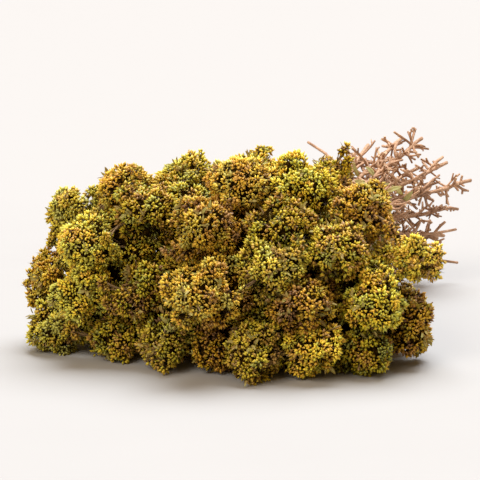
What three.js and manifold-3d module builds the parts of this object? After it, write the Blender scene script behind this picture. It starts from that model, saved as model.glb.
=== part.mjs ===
// A bunch of dried wild oregano lying on its side. Woody stems cross at one tie: their cut ends fan
// out behind it, and the flowering sprays at their other ends mass into a mound in front of it.
// Millimetres, +Z up. The bunch lies along Y, flower heads towards -Y and cut ends towards +Y.
//
// Every stem keeps to its own cell: the part of each cross-section of the bunch that lies nearer to
// that stem than to any other. Flower clusters, branchlets, leaves and stubs all stay in the cell of
// the stem that bears them, so nothing crosses.
import * as THREE from "three";
import Module from "manifold-3d";

const wasm = await Module();
wasm.setup();

// Driving dimensions, in millimetres.
const TIE_HEIGHT = 50; // middle of the tie, above the surface
const CLEARANCE = 0.5; // left between neighbouring sprays
const FACE_GAP = 0.3; // between a spray's cut face and its stem's
const PRESSED = 1.6; // how far the lowest spikelets are pressed flat by the surface
const FINEST = 0.06; // detail smaller than this is smoothed away where solids join
const STEM_RADIUS = { tip: 0.95, tie: 1.15, cut: 1.35 };
const STEM_SIDES = 5;
const CUT_END = 146; // mean distance of the cut ends behind the tie
const CUT_END_SPREAD = 30;
const REAR_LEVELS = [0, 28, 62, 102]; // where a stem's course may bend, behind the tie
const REAR_FLARE = 0.047; // how fast the bunch opens behind the tie, per millimetre
const REAR_DRIFT = { across: 0.09, up: 0.03 }; // lean of the cut ends, millimetres per millimetre
const REAR_WOBBLE = 0.34; // of the space between stems
const SPRAY_NECK = 46; // from a head's middle back to its stem's end
const CREVICE = 1.5; // how sharply a cluster draws in between its lobes
const SPIKELET = { length: 4.6, uneven: 2 }; // how far each point of a cluster stands out
// Clusters: the widest radius, the lobes round the top, rings of points [count, degrees from the
// top], and the stalk's radius under the dome and at its root.
const HEAD = { widest: 28, lobes: 5, rings: [[6, 24], [12, 50], [12, 76], [12, 101]], stalk: [1.5, STEM_RADIUS.tip] };
const SIDE_CLUSTER = { behind: 19, widest: 14, lobes: 0, rings: [[4, 38], [8, 80]], stalk: [0.9, 0.75] };
const RIM = { across: 125, up: 52, middle: -5, trim: 10 }; // heads on the rim of the mound reach less far outwards
const LEAF = { share: 0.4, length: 11, width: 5, thickness: 1.1 };
const STUB = { share: 0.55, first: 34, step: 30, radius: 0.75, shortest: 4, longest: 26 };
const TWINE = { radius: 0.9, wraps: 3, points: 20, knot: 2.6, tail: 15 };
const FINISHES = {
  wood: { colour: 0x8d6c4e, roughness: 0.85 },
  golden: { colour: 0xa08a1e, roughness: 0.9 },
  olive: { colour: 0x7d7424, roughness: 0.9 },
  russet: { colour: 0x84602a, roughness: 0.9 },
  green: { colour: 0x80853a, roughness: 0.9 },
  twine: { colour: 0xb59a6c, roughness: 0.95 },
};

// The flower heads: the middle of each one from the middle of the tie (across, along, up), how many
// side clusters stand behind it, and its finish. Lowest row first, left to right.
const HEADS = [
  { at: [-110, -132, -38], sides: 2, finish: "green" },
  { at: [-68, -138, -36], sides: 2, finish: "olive" },
  { at: [-32, -150, -36], sides: 2, finish: "green" },
  { at: [-9, -136, -38], sides: 1, finish: "russet" },
  { at: [18, -150, -37], sides: 2, finish: "green" },
  { at: [46, -138, -32], sides: 1, finish: "golden" },
  { at: [70, -118, -38], sides: 2, finish: "olive" },
  { at: [86, -92, -30], sides: 2, finish: "russet" },
  { at: [-122, -120, -13], sides: 2, finish: "russet" },
  { at: [-81, -147, -10], sides: 2, finish: "golden" },
  { at: [-48, -140, -9], sides: 1, finish: "olive" },
  { at: [-8, -161, -4], sides: 1, finish: "russet" },
  { at: [40, -135, -11], sides: 1, finish: "russet" },
  { at: [75, -116, -12], sides: 1, finish: "golden" },
  { at: [-81, -140, 15], sides: 1, finish: "golden" },
  { at: [25, -137, 9], sides: 1, finish: "green" },
  { at: [52, -114, 16], sides: 1, finish: "olive" },
  { at: [94, -96, 9], sides: 2, finish: "olive" },
  { at: [-116, -104, 29], sides: 2, finish: "green" },
  { at: [-56, -123, 31], sides: 2, finish: "olive" },
  { at: [-16, -137, 28], sides: 1, finish: "russet" },
  { at: [25, -116, 28], sides: 1, finish: "olive" },
  { at: [60, -86, 35], sides: 2, finish: "russet" },
  { at: [-78, -103, 41], sides: 2, finish: "russet" },
  { at: [-5, -107, 47], sides: 1, finish: "russet" },
  { at: [25, -93, 47], sides: 1, finish: "golden" },
  { at: [-51, -70, 47], sides: 2, finish: "green" },
  { at: [-12, -66, 47], sides: 2, finish: "olive" },
  { at: [28, -52, 48], sides: 2, finish: "golden" },
];
const COUNT = HEADS.length;

const vec = (x, y, z) => new THREE.Vector3(x, y, z);
const clamp = (x, low, high) => Math.min(high, Math.max(low, x));

// A fixed draw between 0 and 1 for each pair of whole numbers.
function draw(a, b) {
  const x = Math.sin(a * 12.9898 + b * 78.233) * 43758.5453;
  return x - Math.floor(x);
}

// Where the stems pass through the tie. Each starts on the side a quarter turn from its head, and
// they are drawn together and eased apart until none comes closer than its thickness in front.
const tiePlaces = (() => {
  const spacing = 2 * STEM_RADIUS.tie + 0.5;
  const ahead = 60;
  const steps = 500;
  const slopes = HEADS.map(({ at }) => [at[0] / -at[1], at[2] / -at[1]]);
  const places = slopes.map(([x, z]) => {
    const squeeze = 9 / (0.6 + Math.hypot(x, z));
    return [z * squeeze, -x * squeeze];
  });
  for (let step = 0; step < steps; step++) {
    for (const p of places) {
      p[0] *= 0.99;
      p[1] *= 0.99;
    }
    for (let i = 0; i < COUNT; i++)
      for (let j = i + 1; j < COUNT; j++) {
        const apart = [places[j][0] - places[i][0], places[j][1] - places[i][1]];
        const drift = [slopes[j][0] - slopes[i][0], slopes[j][1] - slopes[i][1]];
        const nearest = -(apart[0] * drift[0] + apart[1] * drift[1]) / (drift[0] ** 2 + drift[1] ** 2);
        const t = clamp(nearest, 0, ahead);
        const gap = [apart[0] + t * drift[0], apart[1] + t * drift[1]];
        const distance = Math.hypot(...gap);
        if (distance >= spacing) continue;
        const push = (spacing - distance) / distance / 2;
        for (const axis of [0, 1]) {
          places[i][axis] -= gap[axis] * push;
          places[j][axis] += gap[axis] * push;
        }
      }
  }
  return places;
})();

// A stem's courses behind the tie: the places at the rear levels, crossing over to the far side.
const rearPlaces = tiePlaces.map(([x, z], i) =>
  REAR_LEVELS.concat(CUT_END + CUT_END_SPREAD).map((back, level) => {
    const flare = REAR_FLARE * back;
    const room = REAR_WOBBLE * 2.8 * Math.hypot(1, flare) * (back > 0 ? 1 : 0);
    const across = x + flare * z + REAR_DRIFT.across * back + room * (draw(i, level) - 0.5);
    const up = z - flare * x + REAR_DRIFT.up * back + room * (draw(i, level + 20) - 0.5);
    return [across, Math.max(up, STEM_RADIUS.cut - 0.25 - TIE_HEIGHT)];
  }),
);

// The place of stem i in the cross-section y, from the tie: across and up.
function placeAt(i, y) {
  if (y <= 0) {
    const [x, along, z] = HEADS[i].at;
    const share = y / along;
    const [tx, tz] = tiePlaces[i];
    return [tx + (x - tx) * share, tz + (z - tz) * share];
  }
  const levels = REAR_LEVELS.concat(CUT_END + CUT_END_SPREAD);
  let k = 1;
  while (k < levels.length - 1 && levels[k] < y) k++;
  const share = (y - levels[k - 1]) / (levels[k] - levels[k - 1]);
  const [a, b] = [rearPlaces[i][k - 1], rearPlaces[i][k]];
  return [a[0] + (b[0] - a[0]) * share, a[1] + (b[1] - a[1]) * share];
}

// How far a point lies inside the cell of stem i: less than 0 outside it. The cell ends just below
// the surface.
function depthInCell(i, p) {
  const [ax, az] = placeAt(i, p.y);
  let depth = p.z + TIE_HEIGHT + PRESSED + CLEARANCE / 2;
  for (let j = 0; j < COUNT; j++) {
    if (j === i) continue;
    const [bx, bz] = placeAt(j, p.y);
    const apart = Math.hypot(bx - ax, bz - az);
    const towards = ((p.x - ax) * (bx - ax) + (p.z - az) * (bz - az)) / apart;
    depth = Math.min(depth, apart / 2 - towards);
  }
  return depth;
}

// The distance from a point along a direction that stays in the cell, up to a limit.
function reach(i, from, direction, limit) {
  const inside = (s) => depthInCell(i, from.clone().addScaledVector(direction, s)) >= CLEARANCE / 2;
  if (inside(limit)) return limit;
  let [low, high] = [0, limit];
  for (let step = 0; step < 16; step++) {
    const middle = (low + high) / 2;
    if (inside(middle)) low = middle;
    else high = middle;
  }
  return low;
}

// The direction of a spray, and two directions square to it.
function sprayAxes(i) {
  const head = vec(...HEADS[i].at);
  const start = vec(tiePlaces[i][0], 0, tiePlaces[i][1]);
  const along = head.clone().sub(start).normalize();
  const side = vec(0, 0, 1).cross(along).normalize();
  const up = along.clone().cross(side);
  return { head, along, side, up };
}

// The flower clusters of a spray: the domed head at its tip, and one or two side clusters behind it
// on branchlets that fork from the axis. They stand where the head's cell has the most room.
function clustersOf(i) {
  const { head, along, side, up } = sprayAxes(i);
  const y = neckLevel(i) - FACE_GAP;
  const [x, z] = placeAt(i, y);
  const clusters = [{ ...HEAD, centre: head, facing: along, root: vec(x, y, z), cut: [vec(1, 0, 0), vec(0, 0, 1)] }];
  const behind = head.clone().addScaledVector(along, -SIDE_CLUSTER.behind);
  const roomAt = (turn) => {
    const e = spoke(side, up, turn);
    return Math.min(reach(i, behind, e, 28), (behind.z + TIE_HEIGHT) / Math.max(0.001, -e.z));
  };
  const turns = Array.from({ length: 12 }, (_, k) => 30 * k + 20 * draw(i, k));
  const widest = turns.reduce((best, turn) => (roomAt(turn) > roomAt(best) ? turn : best));
  for (const turn of [widest, widest + 150].slice(0, HEADS[i].sides)) {
    const e = spoke(side, up, turn);
    const out = clamp(0.55 * roomAt(turn), 4, 13);
    const centre = behind.clone().addScaledVector(e, out);
    clusters.push({
      ...SIDE_CLUSTER,
      centre,
      facing: along.clone().addScaledVector(e, 1.2).normalize(),
      root: behind.clone().addScaledVector(along, -0.7 * out - 4),
      before: { point: head.clone().addScaledVector(along, -0.3 * HEAD.widest), normal: along },
    });
  }
  return clusters;
}

function spoke(side, up, degrees) {
  const turn = THREE.MathUtils.degToRad(degrees);
  return side.clone().multiplyScalar(Math.cos(turn)).addScaledVector(up, Math.sin(turn));
}

// A closed surface with its points and triangles as a solid, turned to face out.
function solidOf(points, triangles) {
  const [a, b, c] = [vec(0, 0, 0), vec(0, 0, 0), vec(0, 0, 0)];
  const volume = triangles.reduce((sum, t) => {
    [a, b, c].forEach((v, k) => v.copy(points[t[k]]));
    return sum + a.dot(b.cross(c));
  }, 0);
  const faces = volume > 0 ? triangles : triangles.map(([p, q, r]) => [p, r, q]);
  return new wasm.Manifold(
    new wasm.Mesh({
      numProp: 3,
      vertProperties: new Float32Array(points.flatMap((p) => p.toArray())),
      triVerts: new Uint32Array(faces.flat()),
    }),
  );
}

// The triangles between two rings of points. The second has as many as the first, set half a step
// on, or twice as many; with closing, the second has as many or half as many and no half step.
function band(first, second, closing = false) {
  const pick = (ring, k) => ring[k % ring.length];
  if (closing && second.length < first.length) return band(second, first).map(([a, b, c]) => [a, c, b]);
  return first.flatMap((p, k) => {
    const q = pick(first, k + 1);
    if (second.length > first.length) {
      const [a, b, c] = [0, 1, 2].map((step) => pick(second, 2 * k + step));
      return [[p, a, b], [p, b, q], [q, b, c]];
    }
    return [[p, second[k], q], [q, second[k], pick(second, k + 1)]];
  });
}

// A dense cluster of spikelets on its stalk: a lobed dome of triangles round the facing direction,
// drawn in behind to the stalk. Each triangle of the dome is raised to a point, a spikelet larger
// than life.
function clusterSolid(i, cluster, seed) {
  const { centre, facing, widest, lobes, rings, stalk, root, before } = cluster;
  const side = vec(0, 0, 1).cross(facing).normalize();
  const up = facing.clone().cross(side);
  const start = 360 * draw(seed, 77);
  const towards = (polar, turn) => {
    const tilt = THREE.MathUtils.degToRad(polar);
    return spoke(side, up, turn).multiplyScalar(Math.sin(tilt)).addScaledVector(facing, Math.cos(tilt));
  };
  // A lobed cluster is deepest between its lobes.
  const lobe = (_, k) => towards(62, start + (360 * (k + 0.4 * draw(seed, k))) / lobes);
  const lobeMiddles = lobes ? [facing, ...Array.from({ length: lobes }, lobe)] : [];
  const outwards = vec((centre.x - RIM.middle) / RIM.across, 0, centre.z / RIM.up);
  const dome = (direction) => {
    const nearest = lobes ? Math.max(...lobeMiddles.map((m) => m.dot(direction))) : 1;
    const full = widest - RIM.trim * clamp(outwards.dot(direction), 0, 1) - SPIKELET.length;
    return full * (1 - CREVICE * (1 - nearest));
  };
  const free = (direction, wanted) => {
    const kept = reach(i, centre, direction, wanted);
    if (!before || direction.dot(before.normal) <= 0) return kept;
    return Math.min(kept, before.point.clone().sub(centre).dot(before.normal) / direction.dot(before.normal));
  };
  const points = [];
  const put = (point) => points.push(point) - 1;
  const out = (direction, length) => put(centre.clone().addScaledVector(direction, length));
  const valley = (direction) => {
    const wanted = dome(direction) * (1 + 0.1 * (draw(seed, points.length) - 0.5));
    const kept = free(direction, wanted + SPIKELET.length);
    return out(direction, Math.max(kept - SPIKELET.length, 0.4 * kept));
  };
  const top = valley(facing);
  let [faces, last] = [[], null];
  rings.forEach(([count, polar], r) => {
    const offset = start + (last && last.length === count ? 180 / count : 0);
    const turns = Array.from({ length: count }, (_, k) => offset + (360 * k) / count);
    const ring = turns.map((turn) => valley(towards(polar, turn)));
    faces = faces.concat(r ? band(last, ring) : ring.map((p, k) => [top, p, ring[(k + 1) % count]]));
    last = ring;
  });
  const triangles = [];
  for (const [a, b, c] of faces) {
    const middle = vec(0, 0, 0).add(points[a]).add(points[b]).add(points[c]).divideScalar(3);
    const direction = middle.sub(centre).normalize();
    const wanted = dome(direction) + SPIKELET.length + SPIKELET.uneven * (draw(seed, points.length) - 0.5);
    const tip = out(direction, free(direction, wanted));
    triangles.push([a, b, tip], [b, c, tip], [c, a, tip]);
  }
  // The stalk: a ring under the dome, a ring at the root and the root's face.
  const count = last.length / 2;
  const phase = rings.slice(1).filter(([n], r) => n === rings[r][0]).length * (90 / count);
  const circle = (middle, radius, [a, b]) =>
    Array.from({ length: count }, (_, k) =>
      put(middle.clone().addScaledVector(spoke(a, b, start + phase + (360 * k) / count), radius)),
    );
  const neck = circle(centre.clone().addScaledVector(facing, -0.42 * widest), stalk[0], [side, up]);
  const base = circle(root, stalk[1], cluster.cut ?? [side, up]);
  triangles.push(...band(last, neck, true));
  neck.forEach((p, k) => {
    const next = (k + 1) % count;
    triangles.push([p, base[k], neck[next]], [neck[next], base[k], base[next]]);
    if (k > 0 && k < count - 1) triangles.push([base[0], base[k + 1], base[k]]);
  });
  return solidOf(points, triangles);
}

// A tapering rod between two points.
function rod(from, to, startRadius, endRadius, sides) {
  const along = to.clone().sub(from);
  const geometry = new THREE.CylinderGeometry(endRadius, startRadius, along.length(), sides);
  const turn = new THREE.Quaternion().setFromUnitVectors(vec(0, 1, 0), along.clone().normalize());
  geometry.applyQuaternion(turn).translate(...from.clone().add(to).divideScalar(2).toArray());
  return solidFromGeometry(geometry);
}

// A tube through points, cut square to the length of the bunch at each one.
function tube(points, radii, sides, turn) {
  const geometry = new THREE.CylinderGeometry(1, 1, 1, sides, points.length - 1);
  const position = geometry.getAttribute("position");
  const last = points.length - 1;
  for (let k = 0; k < position.count; k++) {
    const level = Math.round((0.5 - position.getY(k)) * last);
    const angle = Math.atan2(position.getZ(k), position.getX(k)) + turn;
    const onAxis = Math.hypot(position.getX(k), position.getZ(k)) < 0.5;
    const radius = onAxis ? 0 : radii[level];
    const p = points[level];
    position.setXYZ(k, p.x + radius * Math.cos(angle), p.y, p.z + radius * Math.sin(angle));
  }
  return solidFromGeometry(geometry);
}

// A three.js geometry as a solid: vertices in the same place become one.
function solidFromGeometry(geometry) {
  const flat = geometry.index ? geometry.toNonIndexed() : geometry;
  const position = flat.getAttribute("position");
  const seen = new Map();
  const points = [];
  const corners = Array.from({ length: position.count }, (_, k) => {
    const p = vec(0, 0, 0).fromBufferAttribute(position, k);
    const key = p.toArray().map((x) => x.toFixed(4)).join();
    if (!seen.has(key)) seen.set(key, points.push(p) - 1);
    return seen.get(key);
  });
  const triangles = [];
  for (let k = 0; k < corners.length; k += 3) {
    const [a, b, c] = corners.slice(k, k + 3);
    if (a !== b && b !== c && c !== a) triangles.push([a, b, c]);
  }
  return solidOf(points, triangles);
}

// A dried leaf: a long flat lozenge with a raised rib, drooping a little at its tip.
function leafSolid(i, root, direction, scale) {
  const flat = vec(0, 0, 1).cross(direction).normalize();
  const normal = direction.clone().cross(flat);
  const length = LEAF.length * scale;
  const room = reach(i, root, direction, length + 1) - 1;
  if (room < 0.5 * length) return null;
  const size = Math.min(length, room);
  const at = (along, across, high) =>
    root
      .clone()
      .addScaledVector(direction, along * size)
      .addScaledVector(flat, (across * LEAF.width * scale) / 2)
      .addScaledVector(normal, high * LEAF.thickness);
  const rim = [at(-0.12, 0, 0), at(0.25, 0.85, 0.3), at(0.6, 0.9, 0.3), at(1, 0, -0.6), at(0.6, -0.9, 0.3), at(0.25, -0.85, 0.3)];
  if (rim.some((p) => depthInCell(i, p) < CLEARANCE / 2)) return null;
  const points = [...rim, at(0.42, 0, 0.35), at(0.42, 0, -0.65)];
  const triangles = [];
  rim.forEach((_, k) => {
    const next = (k + 1) % rim.length;
    triangles.push([k, next, 6], [next, k, 7]);
  });
  return solidOf(points, triangles);
}

const join = (solids) => wasm.Manifold.union(solids.filter(Boolean)).simplify(FINEST);

// What lies below the surface is pressed flat against it.
const aboveSurface = (solid) => solid.trimByPlane([0, 0, 1], -TIE_HEIGHT);

function neckLevel(i) {
  const { head, along } = sprayAxes(i);
  return Math.min(head.y - along.y * SPRAY_NECK, -9);
}

// A flowering spray: its axis, side branchlets, clusters and a pair of small leaves at its base.
function spray(i) {
  const { along, side, up } = sprayAxes(i);
  const clusters = clustersOf(i);
  const solids = clusters.map((cluster, k) => clusterSolid(i, cluster, 10 * i + k));
  const node = clusters[0].root.clone().addScaledVector(along, 9);
  for (const half of draw(i, 30) < LEAF.share ? [0, 180] : []) {
    const e = spoke(side, up, 360 * draw(i, 31) + half);
    solids.push(leafSolid(i, node, e.addScaledVector(along, 0.7).normalize(), 0.8 + 0.4 * draw(i, 32 + half)));
  }
  return aboveSurface(join(solids));
}

// A woody stem: its bare length from the spray to the cut end, with the stubs of side twigs and
// on some stems a leaf or two that stayed on.
function stem(i) {
  const cut = CUT_END + CUT_END_SPREAD * (draw(i, 40) - 0.5);
  const levels = [neckLevel(i), ...REAR_LEVELS, cut];
  const points = levels.map((y) => {
    const [x, z] = placeAt(i, y);
    return vec(x, y, z);
  });
  const radii = levels.map((y) =>
    y < 0 ? STEM_RADIUS.tip : THREE.MathUtils.lerp(STEM_RADIUS.tie, STEM_RADIUS.cut, y / CUT_END),
  );
  const solids = [tube(points, radii, STEM_SIDES, 2 * Math.PI * draw(i, 41))];
  for (let node = 0; STUB.first + STUB.step * node < cut - 12; node++) {
    const y = STUB.first + STUB.step * (node + 0.5 * draw(i, 50 + node));
    const [x, z] = placeAt(i, y);
    const root = vec(x, y, z);
    const turn = 2 * Math.PI * draw(i, 60 + node);
    for (const half of [0, Math.PI]) {
      if (draw(i, 70 + node + 7 * half) > STUB.share) continue;
      const out = vec(Math.cos(turn + half), -0.9, Math.sin(turn + half)).normalize();
      const wanted = THREE.MathUtils.lerp(6, STUB.longest, draw(i, 80 + node + 7 * half));
      const length = reach(i, root, out, wanted + 1.6) - 1.6;
      if (length < STUB.shortest) continue;
      solids.push(rod(root, root.clone().addScaledVector(out, length), STUB.radius * 1.25, STUB.radius, 3));
    }
  }
  return aboveSurface(join(solids));
}

// The convex outline round the stems where they pass through the tie, going round once.
function tieOutline(offset) {
  const marks = [];
  for (let i = 0; i < COUNT; i++)
    for (const y of [-3, 0, 3])
      for (let k = 0; k < 12; k++) {
        const [x, z] = placeAt(i, y);
        const turn = (2 * Math.PI * k) / 12;
        const radius = (STEM_RADIUS.tie + offset) / Math.cos(Math.PI / 12);
        marks.push([x + radius * Math.cos(turn), z + radius * Math.sin(turn)]);
      }
  marks.sort((a, b) => a[0] - b[0] || a[1] - b[1]);
  const turnsLeft = (a, b, c) => (b[0] - a[0]) * (c[1] - a[1]) - (b[1] - a[1]) * (c[0] - a[0]) > 0;
  const half = (list) =>
    list.reduce((kept, mark) => {
      while (kept.length > 1 && !turnsLeft(kept.at(-2), kept.at(-1), mark)) kept.pop();
      kept.push(mark);
      return kept;
    }, []);
  const outline = [...half(marks).slice(0, -1), ...half([...marks].reverse()).slice(0, -1)];
  const middle = [0, 1].map((axis) => outline.reduce((sum, p) => sum + p[axis], 0) / outline.length);
  // The outline's distance from its middle in each direction, by the edge that the ray crosses.
  return Array.from({ length: TWINE.points }, (_, k) => {
    const turn = (2 * Math.PI * k) / TWINE.points;
    const ray = [Math.cos(turn), Math.sin(turn)];
    let distance = Infinity;
    outline.forEach((p, n) => {
      const q = outline[(n + 1) % outline.length];
      const normal = [q[1] - p[1], p[0] - q[0]];
      const slant = normal[0] * ray[0] + normal[1] * ray[1];
      if (slant <= 0) return;
      distance = Math.min(distance, (normal[0] * (p[0] - middle[0]) + normal[1] * (p[1] - middle[1])) / slant);
    });
    return { x: middle[0] + ray[0] * distance, z: middle[1] + ray[1] * distance, ray };
  });
}

// The tie: wraps of thin twine side by side, with a small knot on top and two cut tails.
function tie() {
  const { radius, wraps, knot, tail } = TWINE;
  const outline = tieOutline(FACE_GAP);
  const width = 2 * radius * wraps;
  // The band's section, going round: flat inside, one round for each wrap outside.
  const section = [[-width / 2, 0], [width / 2, 0]];
  for (let w = wraps - 1; w >= 0; w--) {
    const middle = -width / 2 + radius * (2 * w + 1);
    section.push([middle, 2 * radius]);
    if (w > 0) section.push([middle - radius, 1.2 * radius]);
  }
  const points = outline.flatMap(({ x, z, ray }) =>
    section.map(([along, out]) => vec(x + ray[0] * out, along, z + ray[1] * out)),
  );
  const triangles = [];
  outline.forEach((_, k) => {
    const next = (k + 1) % outline.length;
    section.forEach((__, s) => {
      const t = (s + 1) % section.length;
      const [a, b, c, d] = [k, next, next, k].map((ring, n) => ring * section.length + (n < 2 ? s : t));
      triangles.push([a, b, c], [a, c, d]);
    });
  });
  const top = outline.reduce((best, p) => (p.z > best.z ? p : best));
  const knotMiddle = vec(top.x, 0, top.z + 1.9 * radius + 0.5 * knot);
  const lump = new THREE.IcosahedronGeometry(knot, 1).scale(1, 1.1, 0.8).translate(...knotMiddle.toArray());
  const tails = [[-0.55, -0.75, 0.25], [0.7, 0.6, 0.3]].map((direction) =>
    rod(knotMiddle, knotMiddle.clone().addScaledVector(vec(...direction).normalize(), tail), radius * 0.9, radius * 0.9, 5),
  );
  return join([solidOf(points, triangles), solidFromGeometry(lump), ...tails]);
}

// A solid as a named mesh with its finish.
function mesh(name, solid, finish) {
  const { vertProperties, triVerts, numProp } = solid.getMesh();
  const geometry = new THREE.BufferGeometry();
  geometry.setAttribute("position", new THREE.BufferAttribute(new Float32Array(vertProperties), numProp));
  geometry.setIndex(new THREE.BufferAttribute(new Uint32Array(triVerts), 1));
  geometry.computeVertexNormals();
  const { colour, roughness } = FINISHES[finish];
  const material = new THREE.MeshStandardMaterial({ color: colour, roughness, metalness: 0, flatShading: true });
  const made = new THREE.Mesh(geometry, material);
  made.name = name;
  return made;
}

// The bunch stands with the middle of its footprint at the origin and the surface at zero.
const bunch = new THREE.Group();
HEADS.forEach(({ finish }, i) => {
  const number = String(i + 1).padStart(2, "0");
  bunch.add(mesh(`stem_${number}`, stem(i), "wood"));
  bunch.add(mesh(`spray_${number}`, spray(i), finish));
});
bunch.add(mesh("tie", tie(), "twine"));
const box = new THREE.Box3().setFromObject(bunch);
const middle = box.getCenter(vec(0, 0, 0));
bunch.position.set(-middle.x, -middle.y, TIE_HEIGHT);

const part = new THREE.Group();
part.add(bunch);

export default part;
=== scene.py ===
"""A bunch of dried wild oregano lying on its side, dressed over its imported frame.

Every stem and spray of the frame is replaced by a finer piece in the same place: stems with bark,
swollen nodes and broken twigs, sprays with tufts of small overlapping bracts on thin stalks, and a
tie of two-ply twine. Shapes are worked out in millimetres from the middle of the tie, across, along
and up, and are moved into the frame, in metres, when their mesh is made.
"""

import itertools
import logging
import math
from dataclasses import dataclass, field
from enum import Enum

import bpy
import numpy as np
from mathutils import Euler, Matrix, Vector

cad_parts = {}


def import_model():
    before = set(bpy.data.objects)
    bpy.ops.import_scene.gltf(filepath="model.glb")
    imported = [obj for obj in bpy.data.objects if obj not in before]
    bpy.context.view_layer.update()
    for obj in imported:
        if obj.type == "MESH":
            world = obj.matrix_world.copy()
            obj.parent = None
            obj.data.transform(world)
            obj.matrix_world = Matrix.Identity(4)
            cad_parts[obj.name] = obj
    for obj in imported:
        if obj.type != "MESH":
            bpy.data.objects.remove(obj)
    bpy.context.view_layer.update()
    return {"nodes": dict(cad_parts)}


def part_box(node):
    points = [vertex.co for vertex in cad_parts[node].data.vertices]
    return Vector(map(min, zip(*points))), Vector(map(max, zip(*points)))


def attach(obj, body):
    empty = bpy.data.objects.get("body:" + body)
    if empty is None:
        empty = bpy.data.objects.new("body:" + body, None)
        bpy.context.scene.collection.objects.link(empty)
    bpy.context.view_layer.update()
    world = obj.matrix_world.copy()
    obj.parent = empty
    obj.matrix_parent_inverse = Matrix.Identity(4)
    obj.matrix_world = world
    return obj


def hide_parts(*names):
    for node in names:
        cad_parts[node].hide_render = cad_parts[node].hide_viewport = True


# Short names for the types that come up most
Array = np.ndarray
Socket = bpy.types.NodeSocket
Material = bpy.types.Material
Piece = bpy.types.Object

LOG = logging.getLogger("oregano")
TIE_HEIGHT = 50.0  # middle of the tie above the surface, mm
CELL_MARGIN = 0.25  # what a spray or twig leaves free at its cell's wall, mm
SURFACE_SLACK = 1.6  # how much nearer to the surface than to a cell's wall a spray or twig may come, mm
SURFACE_GAP = 0.02  # what every piece leaves free above the surface, mm
RUN_ON = 60.0  # how far a stem's line is carried on past its cut end, mm
GOLDEN_TURN = math.pi * (3 - math.sqrt(5))
ROUND = 6.3  # a little over a full turn, for draws of angles, radians
HOLLOW_WAY = np.array([0.35, -0.92, 0.17])  # the way that hollows open, towards the front
HOLLOW_STEPS = (0.0, 6.5, 13.0)  # how far along that way each hollow's three balls stand, mm
HOLLOW_FLARE = 0.08  # what a hollow gains in radius for each mm along it
BLACK, WHITE = (0, 0, 0, 1), (1, 1, 1, 1)


class Tone(Enum):
    """The four finishes that the flower heads come in."""

    GOLDEN = "flower_golden"
    OLIVE = "flower_olive"
    RUSSET = "flower_russet"
    GREEN = "flower_green"


@dataclass(frozen=True)
class Head:
    """The middle of a flower head, from the middle of the tie, in mm, and how its spray grows.

    Attributes:
        across: mm.
        along: mm.
        up: mm.
        sides: side clusters behind the head.
        tone: its finish.
        brown: how far its bracts run towards brown, on the whole, 0 to 1.
        faded: how far they have bleached to pale straw: 0 hardly, 1 well, and more; each spikelet's value is
            lowered further as painted shade where it lies deep.
        share: of a full dome's radius.
        loose: small clusters that stand apart on thin stalks, in place of a dome.
        lift: how far its spray stays above the surface, mm.
        leafy: how many small leaves stand among its spikelets.
    """

    across: float
    along: float
    up: float
    sides: int
    tone: Tone
    brown: float
    faded: float
    share: float = 1.0
    loose: bool = False
    lift: float = 0.0
    leafy: int = 12

    @property
    def place(self) -> Array:
        """The middle of the head as an array."""
        return np.array([self.across, self.along, self.up])


GOLDEN, OLIVE, RUSSET, GREEN = Tone

# The heads, row by row from the lowest.
HEADS = (
    Head(-110, -132, -38, 2, GREEN, 0.31, 1.1, 0.98, leafy=30),
    Head(-68, -138, -36, 2, OLIVE, 0.51, 0.5, 0.86, leafy=10),
    Head(-32, -150, -36, 2, GREEN, 0.53, 0.65, 0.88, leafy=24),
    Head(-9, -136, -38, 1, RUSSET, 0.61, 0.3, 0.9, leafy=14),
    Head(18, -150, -37, 2, GREEN, 0.54, 0.55, 1, leafy=30),
    Head(46, -138, -32, 1, GOLDEN, 0.41, 1.35, 1, leafy=8),
    Head(70, -118, -38, 2, OLIVE, 0.32, 0.1, 0.98, leafy=20),
    Head(86, -92, -30, 2, RUSSET, 0.51, 0.2, 1, False, 8, leafy=12),
    Head(-122, -120, -13, 2, RUSSET, 0.35, 0.45, 0.96, True, leafy=14),
    Head(-81, -147, -10, 2, GOLDEN, 0.17, 1.5, 1.02, leafy=10),
    Head(-48, -140, -9, 1, OLIVE, 0.57, 0.1, 0.84, leafy=40),
    Head(-8, -161, -4, 1, RUSSET, 0.39, 1.1, 1, leafy=20),
    Head(40, -135, -11, 1, RUSSET, 0.54, 0.4, 1, leafy=30),
    Head(75, -116, -12, 1, GOLDEN, 0.35, 0.85, 1, leafy=14),
    Head(-81, -140, 15, 1, GOLDEN, 0.24, 1.8, 1.02, leafy=10),
    Head(25, -137, 9, 1, GREEN, 0.46, 1.05, 1, leafy=44),
    Head(52, -114, 16, 1, OLIVE, 0.49, 0.7, 1, leafy=36),
    Head(94, -96, 9, 2, OLIVE, 0.5, 1.1, 0.94, True, 49, leafy=16),
    Head(-116, -104, 29, 2, GREEN, 0.38, 1.3, 0.96, True, leafy=20),
    Head(-56, -123, 31, 2, OLIVE, 0.43, 0.5, 0.92, leafy=16),
    Head(-16, -137, 28, 1, RUSSET, 0.55, 0.5, 1, leafy=16),
    Head(25, -116, 28, 1, OLIVE, 0.52, 0.45, 1, leafy=20),
    Head(60, -86, 35, 2, RUSSET, 0.52, 0.55, 0.8, leafy=16),
    Head(-78, -103, 41, 2, RUSSET, 0.38, 1, 1.03, leafy=12),
    Head(-5, -107, 47, 1, RUSSET, 0.38, 1.65, 1, leafy=20),
    Head(25, -93, 47, 1, GOLDEN, 0.37, 0.9, 1, leafy=14),
    Head(-51, -70, 47, 2, GREEN, 0.32, 1.4, 0.86, leafy=16),
    Head(-12, -66, 47, 2, OLIVE, 0.28, 1.4, 0.9, leafy=12),
    Head(28, -52, 48, 2, GOLDEN, 0.6, -0.1, 0.76, leafy=12),
)

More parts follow.
